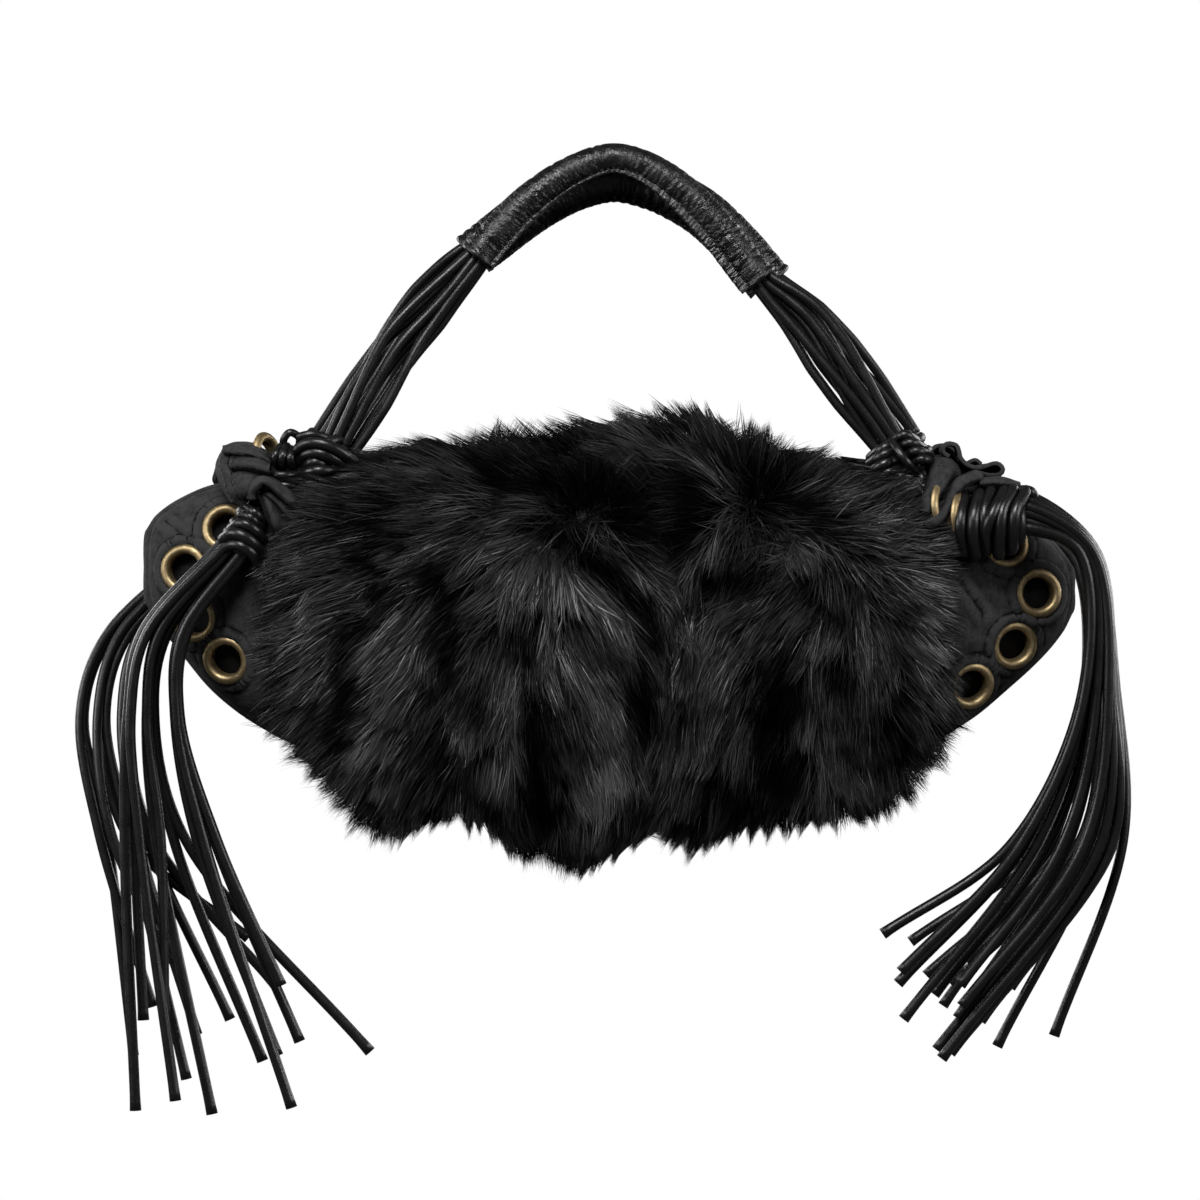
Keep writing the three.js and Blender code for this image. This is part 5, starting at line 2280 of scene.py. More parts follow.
@dataclass(frozen=True)
class Fold:
    """A fold of soft leather laid through rows of places.

    Attributes:
        rows: The places, row by row.
        sewn: Where stitches run: 0 along the rows or 1 across them, and the share of the way over.
        thick: How thick it is.
        rumple: How high its small rumples are.
        rounding: How far its edges are rounded.
    """

    rows: tuple[tuple[Triple, ...], ...]
    sewn: tuple[tuple[int, float], ...] = ()
    thick: float = 1.7
    rumple: float = 0.32
    rounding: float = 0.45

    def mirrored(self, along: float, up: float) -> Fold:
        """The fold's mirror image on the other face.

        Args:
            along: How far it is shifted along the bag.
            up: How far it is shifted upwards.

        Returns:
            The other fold.
        """
        rows = tuple(tuple((x + along, -y, z + up) for x, y, z in row) for row in self.rows)
        return replace(self, rows=rows)

    def drape(self, name: str, finishes: Finishes, sewing: StitchRun) -> Piece:
        """Makes the fold and adds its stitches to a run.

        Args:
            name: The piece's name.
            finishes: The bag's finishes.
            sewing: The run of stitches.

        Returns:
            The fold.
        """
        across = np.stack([curve_through(row, 40) for row in self.rows], axis=1)
        grid = np.stack([curve_through(line, 48) for line in across], axis=1)
        out = unit(np.cross(np.gradient(grid, axis=0), np.gradient(grid, axis=1)))
        outward = math.copysign(1.0, grid[..., 1].mean() * out[..., 1].mean())
        x, y, z = np.moveaxis(grid, -1, 0)
        wave = np.sin(x / 2.3 + z / 3.1) * np.cos(z / 2.7 - y / 2.1)
        grid = grid + out * (self.rumple * wave)[..., None]
        m, n = grid.shape[:2]
        piece = piece_from(name, grid.reshape(-1, 3), crosswise(grid_faces(m, n)), finishes.nubuck)
        thickened(piece, self.thick, 0.0)
        rim = piece.modifiers.new("rim", "BEVEL")
        rim.width = self.rounding * MM
        rim.segments = 2
        apply_modifiers(piece)
        for way, share in self.sewn:
            k = int(share * ((n if way else m) - 1))
            line, normal = (grid[:, k], out[:, k]) if way else (grid[k], out[k])
            sewing.sew((line + normal * outward * self.thick * 0.55)[2:-2], (normal * outward)[2:-2], 2.6)
        return piece


LEFT_FOLDS = (
    Fold((
        ((-170.5, -10, -114.5), (-164.5, -10, -112.5), (-157.5, -10, -113.3), (-150.2, -11, -118)),
        ((-170.8, -16, -113), (-165, -17, -111.2), (-158, -18, -111.9), (-150, -19, -116.6)),
        ((-171, -22, -113.4), (-164.6, -24, -112.8), (-157.6, -25, -113.8), (-150.2, -25, -117.8)),
        ((-170.4, -25.5, -114.6), (-163.6, -28, -115.4), (-157.3, -28.5, -116.3), (-150.6, -27.5, -119.3)),
        ((-169.4, -23, -115.6), (-163, -24, -116.6), (-157.3, -24, -117.4), (-150.8, -23, -120)),
    ), ((0, 0.6),)),
    Fold((
        ((-166.6, -18, -117), (-161.5, -18, -117), (-155.6, -19, -118), (-150.4, -19, -120.4)),
        ((-167.2, -26, -118.2), (-161.6, -28, -118), (-155.6, -29, -119), (-150.2, -28, -121)),
        ((-167.4, -29, -120.6), (-161.6, -31, -120.6), (-155.6, -32, -121.6), (-150.2, -31, -123)),
        ((-167.8, -27, -122.6), (-161.8, -29, -123), (-155.4, -30, -124), (-150.2, -29, -125)),
        ((-168, -20, -122.8), (-162, -21, -123.4), (-155.4, -22, -124.6), (-150.2, -22, -125.8)),
    ), ((1, 0.08),)),
    Fold((
        ((-171.2, -12, -114.6), (-170.4, -20, -113.8), (-168.6, -22, -114.6), (-168, -17, -115.4)),
        ((-173.2, -12, -117.8), (-171.6, -22, -117.6), (-168.2, -24, -117.6), (-167.4, -18, -117.6)),
        ((-174.2, -13, -121.8), (-172.2, -24, -121.6), (-168.6, -27, -121.2), (-167.4, -20, -121)),
        ((-173.4, -16, -125), (-170.8, -27, -124.6), (-167.6, -30, -124), (-166.4, -23, -123.8)),
        ((-171.6, -18, -129.2), (-169, -29, -129), (-166.6, -32, -128.2), (-165.4, -25, -127.8)),
        ((-169.4, -19, -133.2), (-167, -30, -132.8), (-164.8, -33, -132), (-163.8, -27, -131.4)),
        ((-167, -20, -136.8), (-165, -29, -136.2), (-163.2, -31, -135.2), (-162.6, -26, -134.6)),
    ), ((1, 0.55),)),
    Fold((
        ((-167, -22, -124), (-162.4, -23, -123.8), (-158.2, -24, -124.4), (-154.4, -25, -125.6)),
        ((-166.6, -30, -125.6), (-162, -32, -125.4), (-157.8, -33, -125.8), (-153.8, -32, -127.2)),
        ((-165.6, -33, -129), (-161.4, -36, -128.8), (-158.2, -37, -129.4), (-156, -35, -130.6)),
        ((-164.6, -33, -132.4), (-161.2, -35.5, -132.6), (-158.8, -36, -133), (-157.6, -34, -133.6)),
        ((-163.4, -28, -135.2), (-161, -30, -136), (-158.8, -30, -135.6), (-157.6, -29, -135)),
    ), ((1, 0.1),)),
    Fold((
        ((-159.6, -29, -135), (-158.6, -35, -135.4), (-157.2, -36.5, -135.8), (-156.2, -31, -136)),
        ((-159.8, -30, -131.8), (-158.6, -37, -132), (-157, -38.5, -132.6), (-155.8, -32, -133)),
        ((-157.6, -30, -128.2), (-156.4, -38, -128.8), (-155, -39.5, -129.8), (-154.2, -32, -131)),
        ((-153, -29, -126.2), (-152.8, -37.5, -127.2), (-152.6, -39, -128.4), (-152.2, -32, -129.8)),
        ((-148.2, -28, -127.2), (-148.6, -36, -128.4), (-149.2, -37.5, -129.8), (-149.8, -31, -131)),
        ((-143.4, -27, -130.6), (-144.2, -34.5, -131.8), (-145.2, -36, -133.2), (-146, -30, -134.4)),
        ((-137.4, -26, -134.4), (-138.2, -32.5, -136), (-139.2, -34, -137.6), (-140, -28, -138.8)),
        ((-130.2, -25, -138), (-131, -30.5, -139.8), (-131.8, -32, -141.6), (-132.6, -26, -143)),
    ), (), 1.5),
    Fold((
        ((-152.4, -26, -130.6), (-153.2, -31, -131.4), (-154, -32, -132.8), (-154.6, -28, -134)),
        ((-148.6, -26, -131.8), (-149.2, -33.5, -132.8), (-150, -34.5, -134.4), (-150.8, -29, -136)),
        ((-144.6, -26, -135), (-145.2, -32.5, -136), (-146.2, -33.5, -137.8), (-147.2, -29, -139.4)),
        ((-139.2, -25, -139.4), (-140, -31, -140.6), (-141, -32, -142.6), (-142, -28, -144.2)),
        ((-134, -24, -143.4), (-134.8, -29, -144.6), (-136, -30, -146.6), (-137, -26, -148)),
    ), (), 1.4),
    Fold((
        ((-154.6, -27, -132), (-153.6, -31, -131.8), (-152.4, -30, -132)),
        ((-154, -27, -136), (-152, -34, -135.4), (-149.4, -31, -135.6)),
        ((-152.4, -27, -140.6), (-149.8, -35, -140.2), (-145.4, -31, -140)),
        ((-151.8, -27, -144.4), (-148, -35, -144.8), (-141.4, -30.5, -144.4)),
        ((-151.8, -26, -149), (-146.8, -33, -149.6), (-138.6, -29, -148.4)),
        ((-152, -24, -154), (-146.4, -29, -154.6), (-138.4, -26, -152.6)),
    ), (), 1.5),
)  # fmt: skip
RIGHT_FOLDS = (
    Fold((
        ((136, -18, -121), (139, -21, -117.5), (144, -21, -117.2), (148.6, -18, -120.4)),
        ((135.4, -22, -123), (138.6, -28, -119.6), (144.6, -28, -119.2), (149.6, -22, -123)),
        ((136.4, -25, -125.6), (139.4, -32, -123), (145, -32.5, -123.4), (149.4, -25, -126.4)),
        ((136.4, -28, -128.6), (138.8, -34.5, -127), (143.2, -35, -127.8), (146, -28, -129.8)),
        ((134.6, -31, -132), (136.6, -38.5, -131.4), (140.4, -39, -132.6), (142.4, -31, -133.6)),
        ((132.4, -33, -136), (134.2, -41, -135.8), (137.8, -41.5, -136.8), (139.2, -33, -137.2)),
        ((129.8, -34, -141), (131.4, -42, -141), (134.8, -42.5, -141.6), (136.6, -34, -141.6)),
    ), ((0, 0.34),)),
    Fold((
        ((131, -34, -145.4), (133, -42, -146.4), (135.4, -42.5, -148.4), (137, -34, -150)),
        ((137.4, -34, -142), (139, -43, -142.8), (141, -43.5, -144.4), (142.2, -34, -146)),
        ((141, -32, -137.6), (142.8, -41, -138), (144.8, -42, -139), (146, -34, -140)),
        ((143.2, -30, -132.4), (145, -38.5, -132.6), (147, -39.5, -133.6), (148, -33, -134.6)),
        ((147, -29, -128), (148.4, -37.5, -128.6), (149.8, -38.5, -130), (150.4, -32, -131.2)),
        ((151.6, -28, -125.4), (152.2, -35.5, -126.6), (152.8, -37, -128.4), (153, -31, -129.8)),
        ((157, -27, -123.6), (157.6, -33.5, -125), (157.8, -35, -127), (157.6, -30, -128.6)),
        ((159.4, -26, -125.4), (159.4, -31, -127), (159, -32, -129), (158.4, -28, -130.4)),
    ), (), 1.5),
    Fold(tuple(
        tuple((x, y - 0.15 * (x - 150), z) for x, z in (
            (145.4, -117), (143, -115.6), (142.8, -113), (145.4, -111.4), (148.4, -112.2), (149.6, -115),
            (150, -117.8), (153, -120.8), (157.3, -121.9), (162.4, -120.8), (166.3, -120.5), (168.2, -122.7),
            (167.1, -124.8), (162.4, -125.3), (158.1, -124.2),
        ))
        for y in (-13.0, -20.0, -27.0)
    ), (), 1.8),
    Fold((
        ((146, -13, -115.5), (152, -14, -119.5), (160, -15, -121.4), (167.6, -16, -121.6)),
        ((146, -16, -123), (152, -17, -126), (160, -18, -127.4), (169, -19, -128)),
        ((146, -20, -131), (152, -21, -133), (160, -22, -133.4), (169, -23, -133.4)),
    ), (), 1.4),
    Fold((
        ((158, -26, -128), (166, -26, -127.4), (175, -26, -129.6)),
        ((158, -31, -127), (166, -31.5, -126.6), (175.4, -31, -129)),
        ((158, -34, -128.6), (166, -35, -128.6), (175.4, -34, -130.6)),
        ((158, -32, -130.6), (166, -33, -131), (175, -32, -132.4)),
    ), (), 1.6),
)  # fmt: skip


@dataclass
class Corner:
    """A gathered corner: its knot, wound barrel, tassel, folds and the eyelets in them.

    Attributes:
        side: Left or right.
        face: Front or back.
        finishes: The bag's finishes.
        knot: The windings of the handle's knot.
        head: The windings of the tassel's barrel.
        neck: The line of the cords between knot and barrel.
        barrel: The barrel's middle.
        aim: The direction in which it points.
        size: Its radius and length.
        inner: The hanging bundle's inner side at its shoulder, hip and knee.
        outer: The same for its outer side.
        strands: Rows of spread, x and z of the cut end, and offset in depth.
        bunches: The spreads that the hanging cords draw together at.
        rings: Place and outward direction of each eyelet in the folds.
        folds: The folds of the gathered leather.
        holds: How strongly the cords draw together at the shoulder, hip and knee.
    """

    side: Side
    face: Face
    finishes: Finishes
    knot: tuple[Winding | Hoop | Bight, ...]
    head: tuple[Winding | Hoop | Bight, ...]
    neck: tuple[Triple, ...]
    barrel: Triple
    aim: Triple
    size: Pair
    inner: tuple[Triple, ...]
    outer: tuple[Triple, ...]
    strands: tuple[tuple[float, float, float, float], ...]
    bunches: tuple[float, ...]
    rings: tuple[tuple[Triple, Triple], ...]
    folds: tuple[Fold, ...]
    holds: Triple = (0.4, 0.62, 0.1)

    @property
    def key(self) -> str:
        """The corner's name in piece names.

        Returns:
            Its side and its face.
        """
        return f"{self.side.word}_{self.face.word}"

    @property
    def random(self) -> np.random.Generator:
        """Random numbers that belong to the corner.

        Returns:
            A generator at its start.
        """
        return np.random.default_rng(50 + 3 * self.side.value + self.face.value)

    def knot_piece(self) -> Piece:
        """The handle's knot.

        Returns:
            The knot.
        """
        run, random = TubeRun(sides=10), self.random
        for winding in self.knot:
            winding.lay(run, random)
        return run.build(f"wound_knot_{self.key}", self.finishes.cord)

    def strand_path(self, spread: float, end_x: float, end_z: float, depth: float) -> Path:
        """The route of one cord of the tassel.

        Args:
            spread: Its place from the bundle's inner side to its outer side.
            end_x: Where it ends along the bag.
            end_z: The height of its cut end.
            depth: Its offset towards the wearer.

        Returns:
            The route as rows.
        """
        aim = unit(np.array(self.aim, float))
        radius, length = self.size
        aside = unit(np.cross([0.0, -float(self.side.value), 0.0], aim))
        exit_ = np.array(self.barrel) + aim * (length / 2 - 3) + aside * (spread - 0.5) * 1.25 * radius
        exit_ = exit_ + np.array([0, depth * 0.5, 0])
        start = exit_ - aim * 8
        home = min(self.bunches, key=lambda place: abs(place - spread))
        bundle = [
            np.array(a)
            + (np.array(b) - np.array(a)) * (spread + hold * (home - spread))
            + np.array([0, depth * (k + 2) / 4, 0])
            for k, (a, b, hold) in enumerate(zip(self.inner, self.outer, self.holds))
        ]
        end = np.array([end_x, bundle[2][1], end_z])
        return curve_through([start, exit_, *bundle, end], 72)

    def tassel_piece(self) -> Piece:
        """The tassel: neck cords, wound barrel and hanging cords.

        Returns:
            The tassel.
        """
        run, random = TubeRun(sides=10), self.random
        neck = curve_through(self.neck, 26)
        _, sides, ups = carried_frames(neck)
        cords, apart = 5, 3.1
        for k in range(cords):
            angle = TURN * k / cords + 0.5
            run.add(neck + apart * (sides * math.cos(angle) + ups * math.sin(angle)), CORD_RADIUS, cut=False)
        for winding in self.head:
            winding.lay(run, random)
        for spread, end_x, end_z, depth in self.strands:
            path = self.strand_path(spread, end_x, end_z, depth)
            radii = np.full(len(path), CORD_RADIUS)
            radii[-3:] = CORD_RADIUS * np.array([1.01, 1.05, 1.12])
            run.add(path, radii)
        return run.build(f"cord_tassel_{self.key}", self.finishes.cord)

    def gather_piece(self) -> Piece:
        """The gathered leather with its stitches.

        Returns:
            The gather.
        """
        sewing = StitchRun(long=1.5, wide=0.5)
        parts = [fold.drape(f"fold_{k}", self.finishes, sewing) for k, fold in enumerate(self.folds)]
        if sewing.parts:
            parts.append(sewing.build("hem_stitches", self.finishes.thread))
        return joined(f"leather_gather_{self.key}", parts)

    def build(self, mould: EyeletMould, cast: Piece) -> None:
        """Makes the corner's pieces and rides them.

        Args:
            mould: The eyelets' mould.
            cast: One eyelet about the origin.
        """
        settle(self.knot_piece(), (f"knot_{self.key}",))
        settle(self.tassel_piece(), (f"tassel_{self.key}",))
        settle(self.gather_piece(), (f"gather_{self.key}",))
        for k, (place, out) in enumerate(self.rings):
            node = f"eyelet_pleat_{self.key}_{k + 1}"
            ring = mould.press(cast, f"brass_{node}", np.array(place), unit(np.array(out)))
            settle(ring, (node,))


def front_handle(finishes: Finishes) -> Handle:
    """The front handle.

    Args:
        finishes: The bag's finishes.

    Returns:
        The handle.
    """
    return Handle(
        Face.FRONT,
        finishes,
        apex_y=9,
        end_y=17,
        grip=(-60.8, 64.4),
        girth=((-60, 8.1, 7.4), (-38, 7.9, 7.2), (-15, 6.9, 7.0), (0, 6.6, 6.8), (15, 6.8, 7.0),
               (40, 7.6, 7.2), (66, 7.9, 7.4)),
        stations=(
            (-120, -112.5, 8.5), (-107, -90, 10.5), (-94.6, -70.5, 11), (-80.5, -54.2, 9.6),
            (-61, -30.4, 6.2),
            (-38.3, -5.4, 4.8), (-17, 9.0, 4.6), (0, 14.2, 4.6), (17, 9.0, 4.6), (38.3, -8.4, 4.8),
            (64.4, -39.9, 6.2),
            (82.3, -57, 9.6), (93.7, -73, 11), (104.3, -89.5, 10.5), (120, -112.5, 8.5),
        ),
        flange=((-61, 1.8), (-30, 1.0), (0, 1.4), (25, 3.0), (66, 4.2)),
        frill=(8, 34, 0.12),
    )  # fmt: skip


def back_handle(finishes: Finishes) -> Handle:
    """The back handle.

    Args:
        finishes: The bag's finishes.

    Returns:
        The handle.
    """
    return Handle(
        Face.BACK,
        finishes,
        apex_y=8,
        end_y=17,
        grip=(-64, 70),
        girth=((-63, 9.0, 6.6), (-38, 9.4, 6.4), (0, 9.6, 6.2), (38, 9.4, 6.4), (68, 9.0, 6.6)),
        stations=(
            (-128, -111, 8.5), (-111, -84.5, 10), (-97, -64.5, 10.5), (-83, -47, 9.4), (-64, -26.8, 6),
            (-55, -19.7, 5.2), (-45, -11.8, 4.6), (-33, -3.5, 4.4), (-17, 4.4, 4.2), (0, 8, 4.2),
            (17, 4.4, 4.2),
            (28, -0.5, 4.4), (40.6, -8.4, 4.6), (55.6, -22.4, 5.2), (70.1, -38.9, 6), (85, -54.5, 9.4),
            (98, -70, 10.5), (112, -87, 10), (129, -109, 8.5),
        ),
        flange=((-63, 3.0), (0, 2.6), (40, 3.0), (69, 4.0)),
        frill=(12, 20, 0.75),
    )  # fmt: skip


def corners(finishes: Finishes) -> list[Corner]:
    """The four gathered corners.

    Args:
        finishes: The bag's finishes.

    Returns:
        The corners.
    """
    return [
        Corner(
            Side.LEFT,
            Face.FRONT,
            finishes,
            knot=(
                Hoop(((-140.8, -116.5), (-134.5, -111.6), (-125.5, -112.2), (-116.6, -117), (-112.2, -121)),
                     -31, -9, 2.5),
                Hoop(((-138.8, -119.5), (-132.5, -115.6), (-124.5, -116.8), (-116.5, -122)), -29.5, -9, 2.5),
                Hoop(((-136.6, -121.5), (-131, -119.6), (-124, -121.4)), -28, -9, 2.4),
                Hoop(((-137.4, -124.2), (-129.5, -123.4), (-120.4, -123.2)), -29, -9, 2.5),
                Hoop(((-137.4, -129), (-129, -128.4), (-120.8, -127.2)), -28.5, -10, 2.5),
                Hoop(((-148.2, -122), (-147.7, -117), (-145.5, -112.6)), -28, -12, 1.8),
                Hoop(((-144.6, -122.4), (-144.5, -117.5), (-143, -112.6)), -29.5, -12, 1.9),
                Hoop(((-140.4, -122), (-141, -117.8), (-141, -113.8)), -30, -12, 1.8),
                Hoop(((-150.2, -121.5), (-147.6, -124.7), (-142.6, -125.3), (-137.8, -124.2)), -29, -12, 1.9),
                Hoop(((-150, -125.4), (-147, -128.9), (-141.5, -129.9), (-135.2, -129.6)), -28, -12, 2.0),
                Bight(((-143.6, -19, -115), (-144.4, -23, -110), (-141.6, -24, -106.6), (-137.8, -22, -108.6),
                       (-138, -18, -113)), 1.7),
                Bight(((-138.2, -25, -108.8), (-132, -25.5, -107.6), (-126, -23, -109), (-121, -18, -114)),
                      2.1),
                Bight(((-131.5, -24, -128), (-130.6, -27, -131.5), (-128.6, -26, -136)), 1.7),
                Bight(((-127.5, -24, -128), (-126.4, -27, -132), (-124.6, -26, -135)), 1.6),
                Winding((-126, -19, -117.5), (-0.35, 0.05, 0.93), 9.5, 7.5, 3, 5.0, 2.6),
                Bight(((-143.5, -20, -113), (-143.5, -20, -118), (-143, -20, -124)), 5.0),
            ),
            head=(
                Hoop(((-159.6, -139.6), (-156.2, -141.4), (-152.6, -145.4)), -37, -24, 1.9),
                Hoop(((-162.4, -142.4), (-158.6, -143.2), (-153.6, -148)), -37.5, -24, 1.9),
                Hoop(((-166.6, -149), (-162, -146.3), (-156.4, -148.8), (-152.4, -153.4)), -40, -22, 2.4),
                Hoop(((-169.8, -153.2), (-165.2, -150.6), (-159, -152.8), (-153, -158.6)), -41, -22, 2.6),
                Hoop(((-170, -157.4), (-164.2, -155.4), (-157.4, -159), (-154.2, -164)), -40, -22, 2.5),
                Winding((-161.5, -31, -150.5), (-0.5, -0.12, -0.86), 7.0, 6.4, 4, 4.8, 2.6),
            ),
            neck=((-128, -17, -118), (-141, -16, -128), (-156, -23, -140), (-164, -31, -155)),
            barrel=(-161.5, -31, -150.5),
            aim=(-0.5, -0.12, -0.86),
            size=(9, 21),
            inner=((-185, -30, -194), (-188, -26, -229), (-173, -22, -283)),
            outer=((-206, -29, -194), (-213, -25, -229), (-214, -21, -283)),
            strands=(
                (1.0, -209, -402, 0), (0.9, -206, -363, 5), (0.8, -191, -397, -7), (0.68, -176, -404, 5),
                (0.6, -196, -361, -4), (0.48, -154, -381, 7), (0.35, -107, -377, 7), (0.25, -147, -378, 0),
                (0.15, -140.5, -400, -7), (0.05, -137.5, -372, 2), (0.0, -145, -347, -6),
            ),
            bunches=(0.07, 0.62, 0.94),
            rings=(((-152.8, -14.5, -117), (0.86, -0.45, 0.14)),),
            folds=LEFT_FOLDS,
        ),
        Corner(
            Side.LEFT,
            Face.BACK,
            finishes,
            knot=(
                Winding((-132.5, 17.5, -117), (0.5, 0.0, 0.86), 9.0, 9.5, 4, 4.8, 2.6),
                Winding((-137, 19, -124), (0.3, 0.1, 0.9), 7.5, 8.0, 2, 4.8, 2.4),
            ),
            head=(Winding((-166, 32, -148), (-0.7, 0.1, -0.7), 9.2, 9.0, 4, 5.1, 2.7),),
            neck=((-131, 18, -113.5), (-144, 24, -124), (-160, 31, -142), (-171, 33, -153)),
            barrel=(-166, 32, -148),
            aim=(-0.7, 0.1, -0.7),
            size=(9, 21),
            inner=((-207, 30, -194), (-214, 25, -229), (-206, 20, -283)),
            outer=((-226, 29, -194), (-238, 24, -229), (-229, 19, -283)),
            strands=(
                (1.0, -205, -360, 0), (0.85, -214, -382, 4), (0.75, -196, -340, -6), (0.5, -163, -330, 5),
                (0.4, -190, -392, -2), (0.25, -185, -372, -6), (0.1, -171, -366, 3), (0.0, -150, -352, 3),
            ),
            bunches=(0.18, 0.58, 0.98),
            rings=(((-158.4, 17.6, -116), (0.2, 0.1, 0.97)),),
            folds=tuple(fold.mirrored(-3, -4) for fold in LEFT_FOLDS),
        ),
        Corner(
            Side.RIGHT,
            Face.FRONT,
            finishes,
            knot=(
                Hoop(((111.6, -117.4), (116.6, -113.6), (123.4, -110.9)), -29, -9, 2.5),
                Hoop(((110.2, -121), (115.6, -117), (124, -113.6)), -30.5, -9, 2.6),
                Hoop(((110, -125), (115.4, -121.2), (123.6, -117.4)), -31, -9, 2.6),
                Hoop(((111.6, -128.4), (117.4, -124.8), (125.4, -121.4)), -30.5, -9, 2.5),
                Hoop(((116.6, -127.2), (124, -125.8), (131.8, -126.2)), -30, -10, 2.2),
                Hoop(((116, -131), (124.4, -130.4), (132.8, -130.6)), -29.5, -11, 2.3),
                Hoop(((120.8, -110.4), (125.6, -107.7), (131, -109.8)), -28, -8, 2.1),
                Hoop(((122.8, -113.8), (128, -111.2), (134, -113.2)), -30, -8, 2.2),
                Hoop(((125.4, -117.4), (130.4, -114.9), (136.6, -116.6)), -31.5, -8, 2.2),
                Hoop(((128.4, -121), (132.8, -118.4), (138.4, -119.8)), -32, -9, 2.1),
                Bight(((119.5, -27, -110.4), (122.5, -33.5, -114.6), (126, -35, -119.4),
                       (130.4, -30, -123.8)), 1.8),
                Winding((122, -18.5, -119), (-0.46, 0.05, 0.89), 9.5, 7.5, 3, 5.0, 2.6),
                Bight(((125.5, -15, -107.5), (129.5, -16.5, -113.5), (133, -17.5, -120)), 4.4),
                Bight(((116, -18, -116.5), (121, -19, -121), (125, -19, -127)), 6.0),
            ),
            head=(
                Hoop(((151.2, -135.4), (149.2, -143), (148.8, -150), (151, -158.6)), -44.5, -21, 2.7),
                Hoop(((157.6, -133.6), (154.8, -142), (154.2, -151), (156, -160)), -45.5, -21, 2.7),
                Hoop(((162.6, -132.6), (159.4, -140.4), (158.8, -148), (160.4, -158.6)), -44.5, -21, 2.6),
                Hoop(((168.2, -132.4), (162.6, -142), (159.8, -150), (160.8, -157.6)), -46.5, -21, 2.5),
                Hoop(((172.2, -131.8), (167, -140.6), (166, -150), (166, -159.8)), -45.6, -21, 2.7),
                Hoop(((177.6, -132.4), (172.8, -140.6), (171.6, -149), (171.6, -157.6)), -45, -21, 2.7),
                Bight(((171, -30, -137), (175, -35, -132.4), (179.6, -36, -132.6), (182, -33, -136.4)), 2.4),
                Winding((164.5, -33, -146), (0.98, -0.06, 0.02), 9.6, 8.6, 5, 5.2, 2.8, 0.05),
            ),
            neck=((122.5, -18, -115.5), (132, -29, -136), (153, -32, -142.5), (172, -33, -142)),
            barrel=(166.5, -33, -142),
            aim=(0.98, -0.06, 0.02),
            size=(12.3, 31),
            inner=((200, -32, -158), (202, -28, -220), (172, -22, -286)),
            outer=((209, -31, -158), (217, -27, -220), (217, -21, -286)),
            strands=(
                (0.0, 116.5, -325, 0), (0.08, 124, -341, -7), (0.16, 123.5, -347, 5), (0.26, 125.5, -362, -2),
                (0.38, 139.5, -352, 7), (0.5, 150, -347, -5), (0.58, 149.5, -362, 3), (0.68, 150.5, -356, -7),
                (0.78, 140.5, -376, 5), (0.86, 142, -379, -4), (0.93, 153, -368, 7), (1.0, 146, -377, 0),
            ),
            bunches=(0.1, 0.45, 0.85),
            rings=(((141, -34, -139.4), (0.88, -0.46, 0.1)), ((149, -35, -143.6), (0.9, -0.42, 0.05))),
            folds=RIGHT_FOLDS,
        ),
        Corner(
            Side.RIGHT,
            Face.BACK,
            finishes,
            knot=(
                Winding((130, 17.5, -114), (-0.5, 0.0, 0.86), 9.0, 9.5, 4, 4.8, 2.6),
                Winding((134, 19, -123), (-0.3, 0.1, 0.9), 7.5, 8.0, 2, 4.8, 2.4),
            ),
            head=(Winding((168, 33, -140), (0.95, 0.1, -0.1), 10.6, 10.0, 5, 5.2, 2.8),),
            neck=((132, 18, -111), (140, 25, -128), (157, 31, -139), (174, 33.5, -140.5)),
            barrel=(168, 33, -140),
            aim=(0.95, 0.1, -0.1),
            size=(10, 26),
            inner=((203, 32, -160), (208, 27, -220), (190, 21, -286)),
            outer=((213, 31, -160), (224, 26, -220), (226, 20, -286)),
            strands=(
                (1.0, 195, -373, 0), (0.9, 176, -352, 5), (0.8, 162, -366, -6), (0.7, 170, -378, 3),
                (0.6, 150, -351, 5), (0.45, 156, -340, -4), (0.3, 138, -346, -3), (0.15, 146, -360, 4),
                (0.0, 131, -331, -5),
            ),
            bunches=(0.1, 0.5, 0.92),
            rings=(((148.8, 28.8, -133.2), (-0.8, 0.5, 0.1)),),
            folds=tuple(fold.mirrored(3.5, 6.5) for fold in RIGHT_FOLDS[:2]),
        ),
    ]


# ---------------------------------------------------------------------------------------- studio


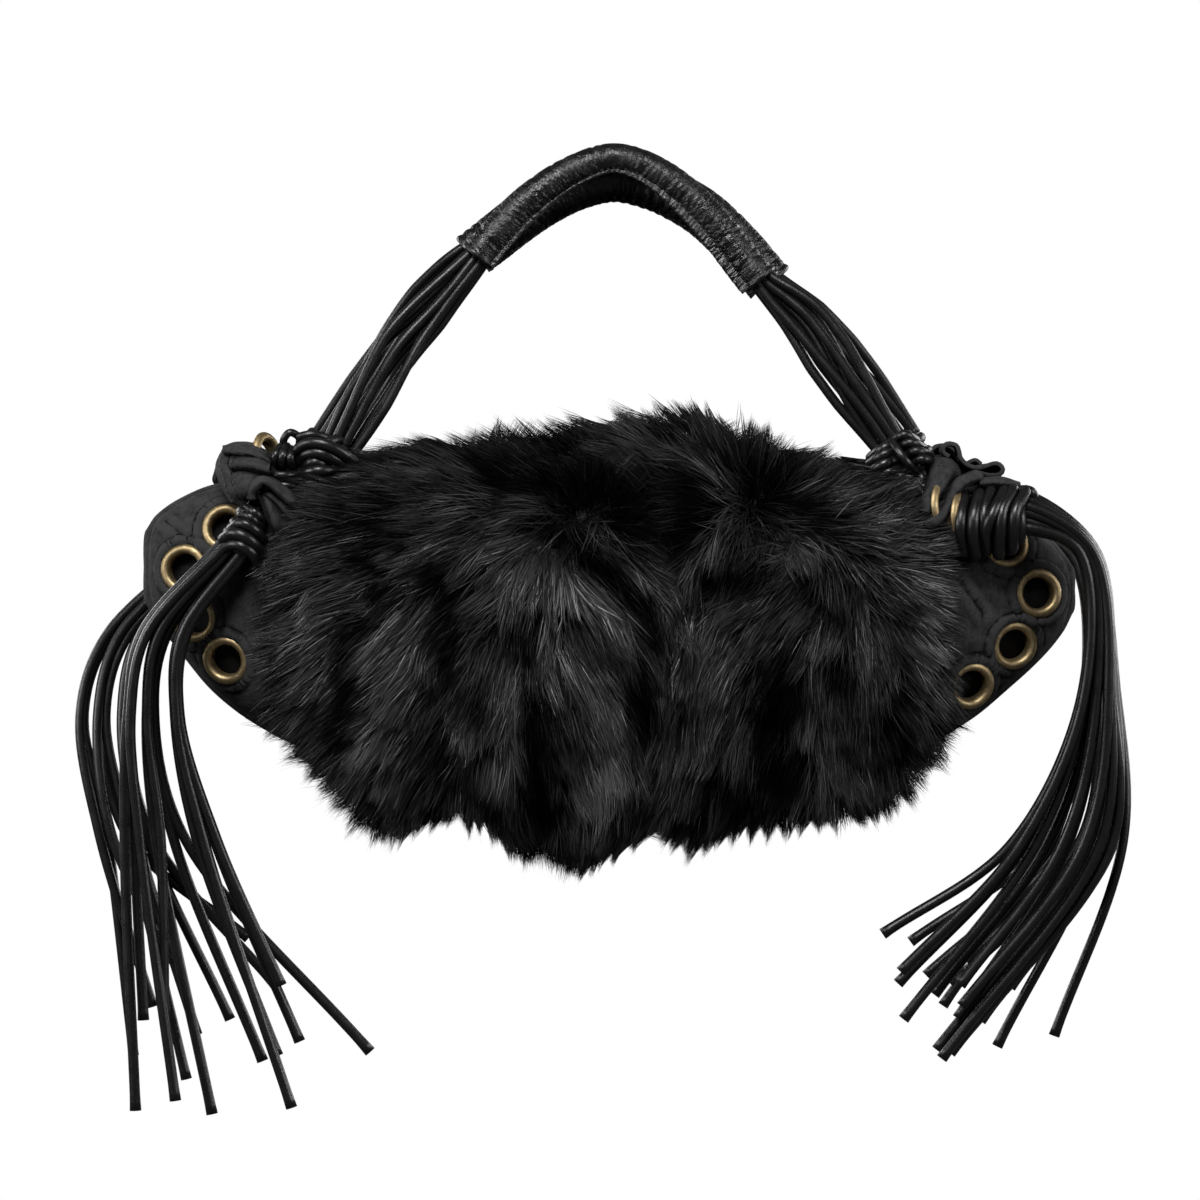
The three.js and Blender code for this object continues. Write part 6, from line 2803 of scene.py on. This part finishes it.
@dataclass
class Studio:
    """A white studio: a straight long-lens camera and broad soft lights.

    Attributes:
        aim: What the camera looks at, in millimetres.
        distance: How far off it stands.
        frame_width: The width that it takes in at the bag.
        backdrop: How bright the backdrop is seen.
        ambient: How brightly it lights the bag.
        lamps: Each light's name, its place and width in metres, and its watts.
    """

    aim: Triple = (-6.6, 0.0, -179.5)
    distance: float = 2200.0
    frame_width: float = 528.0
    backdrop: float = 1.0
    ambient: float = 0.11
    lamps: tuple[tuple[str, Triple, float, float], ...] = (
        ("key_light", (-0.35, -1.55, 1.35), 0.8, 54.0),
        ("left_light", (-1.9, -0.9, 0.35), 0.9, 24.0),
        ("right_light", (1.9, -0.9, 0.35), 0.9, 22.0),
        ("back_left_light", (-1.7, 1.3, 0.35), 1.1, 20.0),
        ("back_right_light", (1.7, 1.3, 0.35), 1.1, 20.0),
    )

    def camera(self) -> None:
        """Sets the camera straight before the bag."""
        lens = bpy.data.cameras.new("studio_camera")
        lens.sensor_width = 36.0
        lens.lens = lens.sensor_width * self.distance / self.frame_width
        lens.clip_end = 50.0
        camera = linked("studio_camera", lens)
        camera.location = Vector((self.aim[0], -self.distance, self.aim[2])) * MM
        camera.rotation_euler = (math.pi / 2, 0.0, 0.0)
        bpy.context.scene.camera = camera

    def lamp(self, name: str, place: Triple, width: float, watts: float) -> None:
        """Adds one soft light that looks at the bag.

        Args:
            name: Its name.
            place: Where it stands, in metres.
            width: Its width and height, in metres.
            watts: Its power.
        """
        light = bpy.data.lights.new(name, "AREA")
        light.energy = watts
        light.size = width
        lamp = linked(name, light)
        lamp.location = place
        toward = Vector(self.aim) * MM - Vector(place)
        lamp.rotation_euler = toward.to_track_quat("-Z", "Y").to_euler()

    def surroundings(self) -> None:
        """A white backdrop that lights the bag only dimly."""
        world = bpy.data.worlds.new("white_studio")
        world.use_nodes = True
        tree = world.node_tree
        tree.nodes.clear()
        seen = tree.nodes.new("ShaderNodeLightPath")
        mix = tree.nodes.new("ShaderNodeMixShader")
        output = tree.nodes.new("ShaderNodeOutputWorld")
        tree.links.new(seen.outputs["Is Camera Ray"], mix.inputs[0])
        for k, strength in enumerate((self.ambient, self.backdrop), 1):
            white = tree.nodes.new("ShaderNodeBackground")
            white.inputs["Color"].default_value = (1.0, 1.0, 1.0, 1.0)
            white.inputs["Strength"].default_value = strength
            tree.links.new(white.outputs[0], mix.inputs[k])
        tree.links.new(mix.outputs[0], output.inputs[0])
        bpy.context.scene.world = world

    def build(self) -> None:
        """Sets up the whole studio."""
        self.camera()
        self.surroundings()
        for row in self.lamps:
            self.lamp(*row)
        bpy.context.scene.view_settings.view_transform = "Standard"


# ------------------------------------------------------------------------------------------ main


def main() -> None:
    """Builds the studio and dresses the bag."""
    logging.basicConfig(level=logging.INFO, format="%(message)s")
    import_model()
    Studio().build()
    finishes = Finishes()
    for face, hairs in ((Face.FRONT, 76000), (Face.BACK, 50000)):
        InnerWall(face, finishes).build()
        FurPanel(face, finishes, hairs=hairs).build()
    mould = EyeletMould()
    cast = mould.cast(finishes.brass)
    ends = (
        (Side.LEFT, ((-169.8, -148.3), (-188, -166), (-183.5, -187.2), (-169.5, -205.5)),
         ((-196, -146), (-178, -160))),
        (Side.RIGHT, ((170, -155.4), (184.5, -176.5), (174, -199), (155, -216.5)),
         ((146, -168), (160, -186))),
    )
    for side, eyelets, dart in ends:
        LeatherEnd(side, finishes, mould, cast, eyelets, dart).build()
    for handle in (front_handle(finishes), back_handle(finishes)):
        handle.build()
    for corner in corners(finishes):
        corner.build(mould, cast)
    bpy.data.objects.remove(cast)


if __name__ == "__main__":
    main()
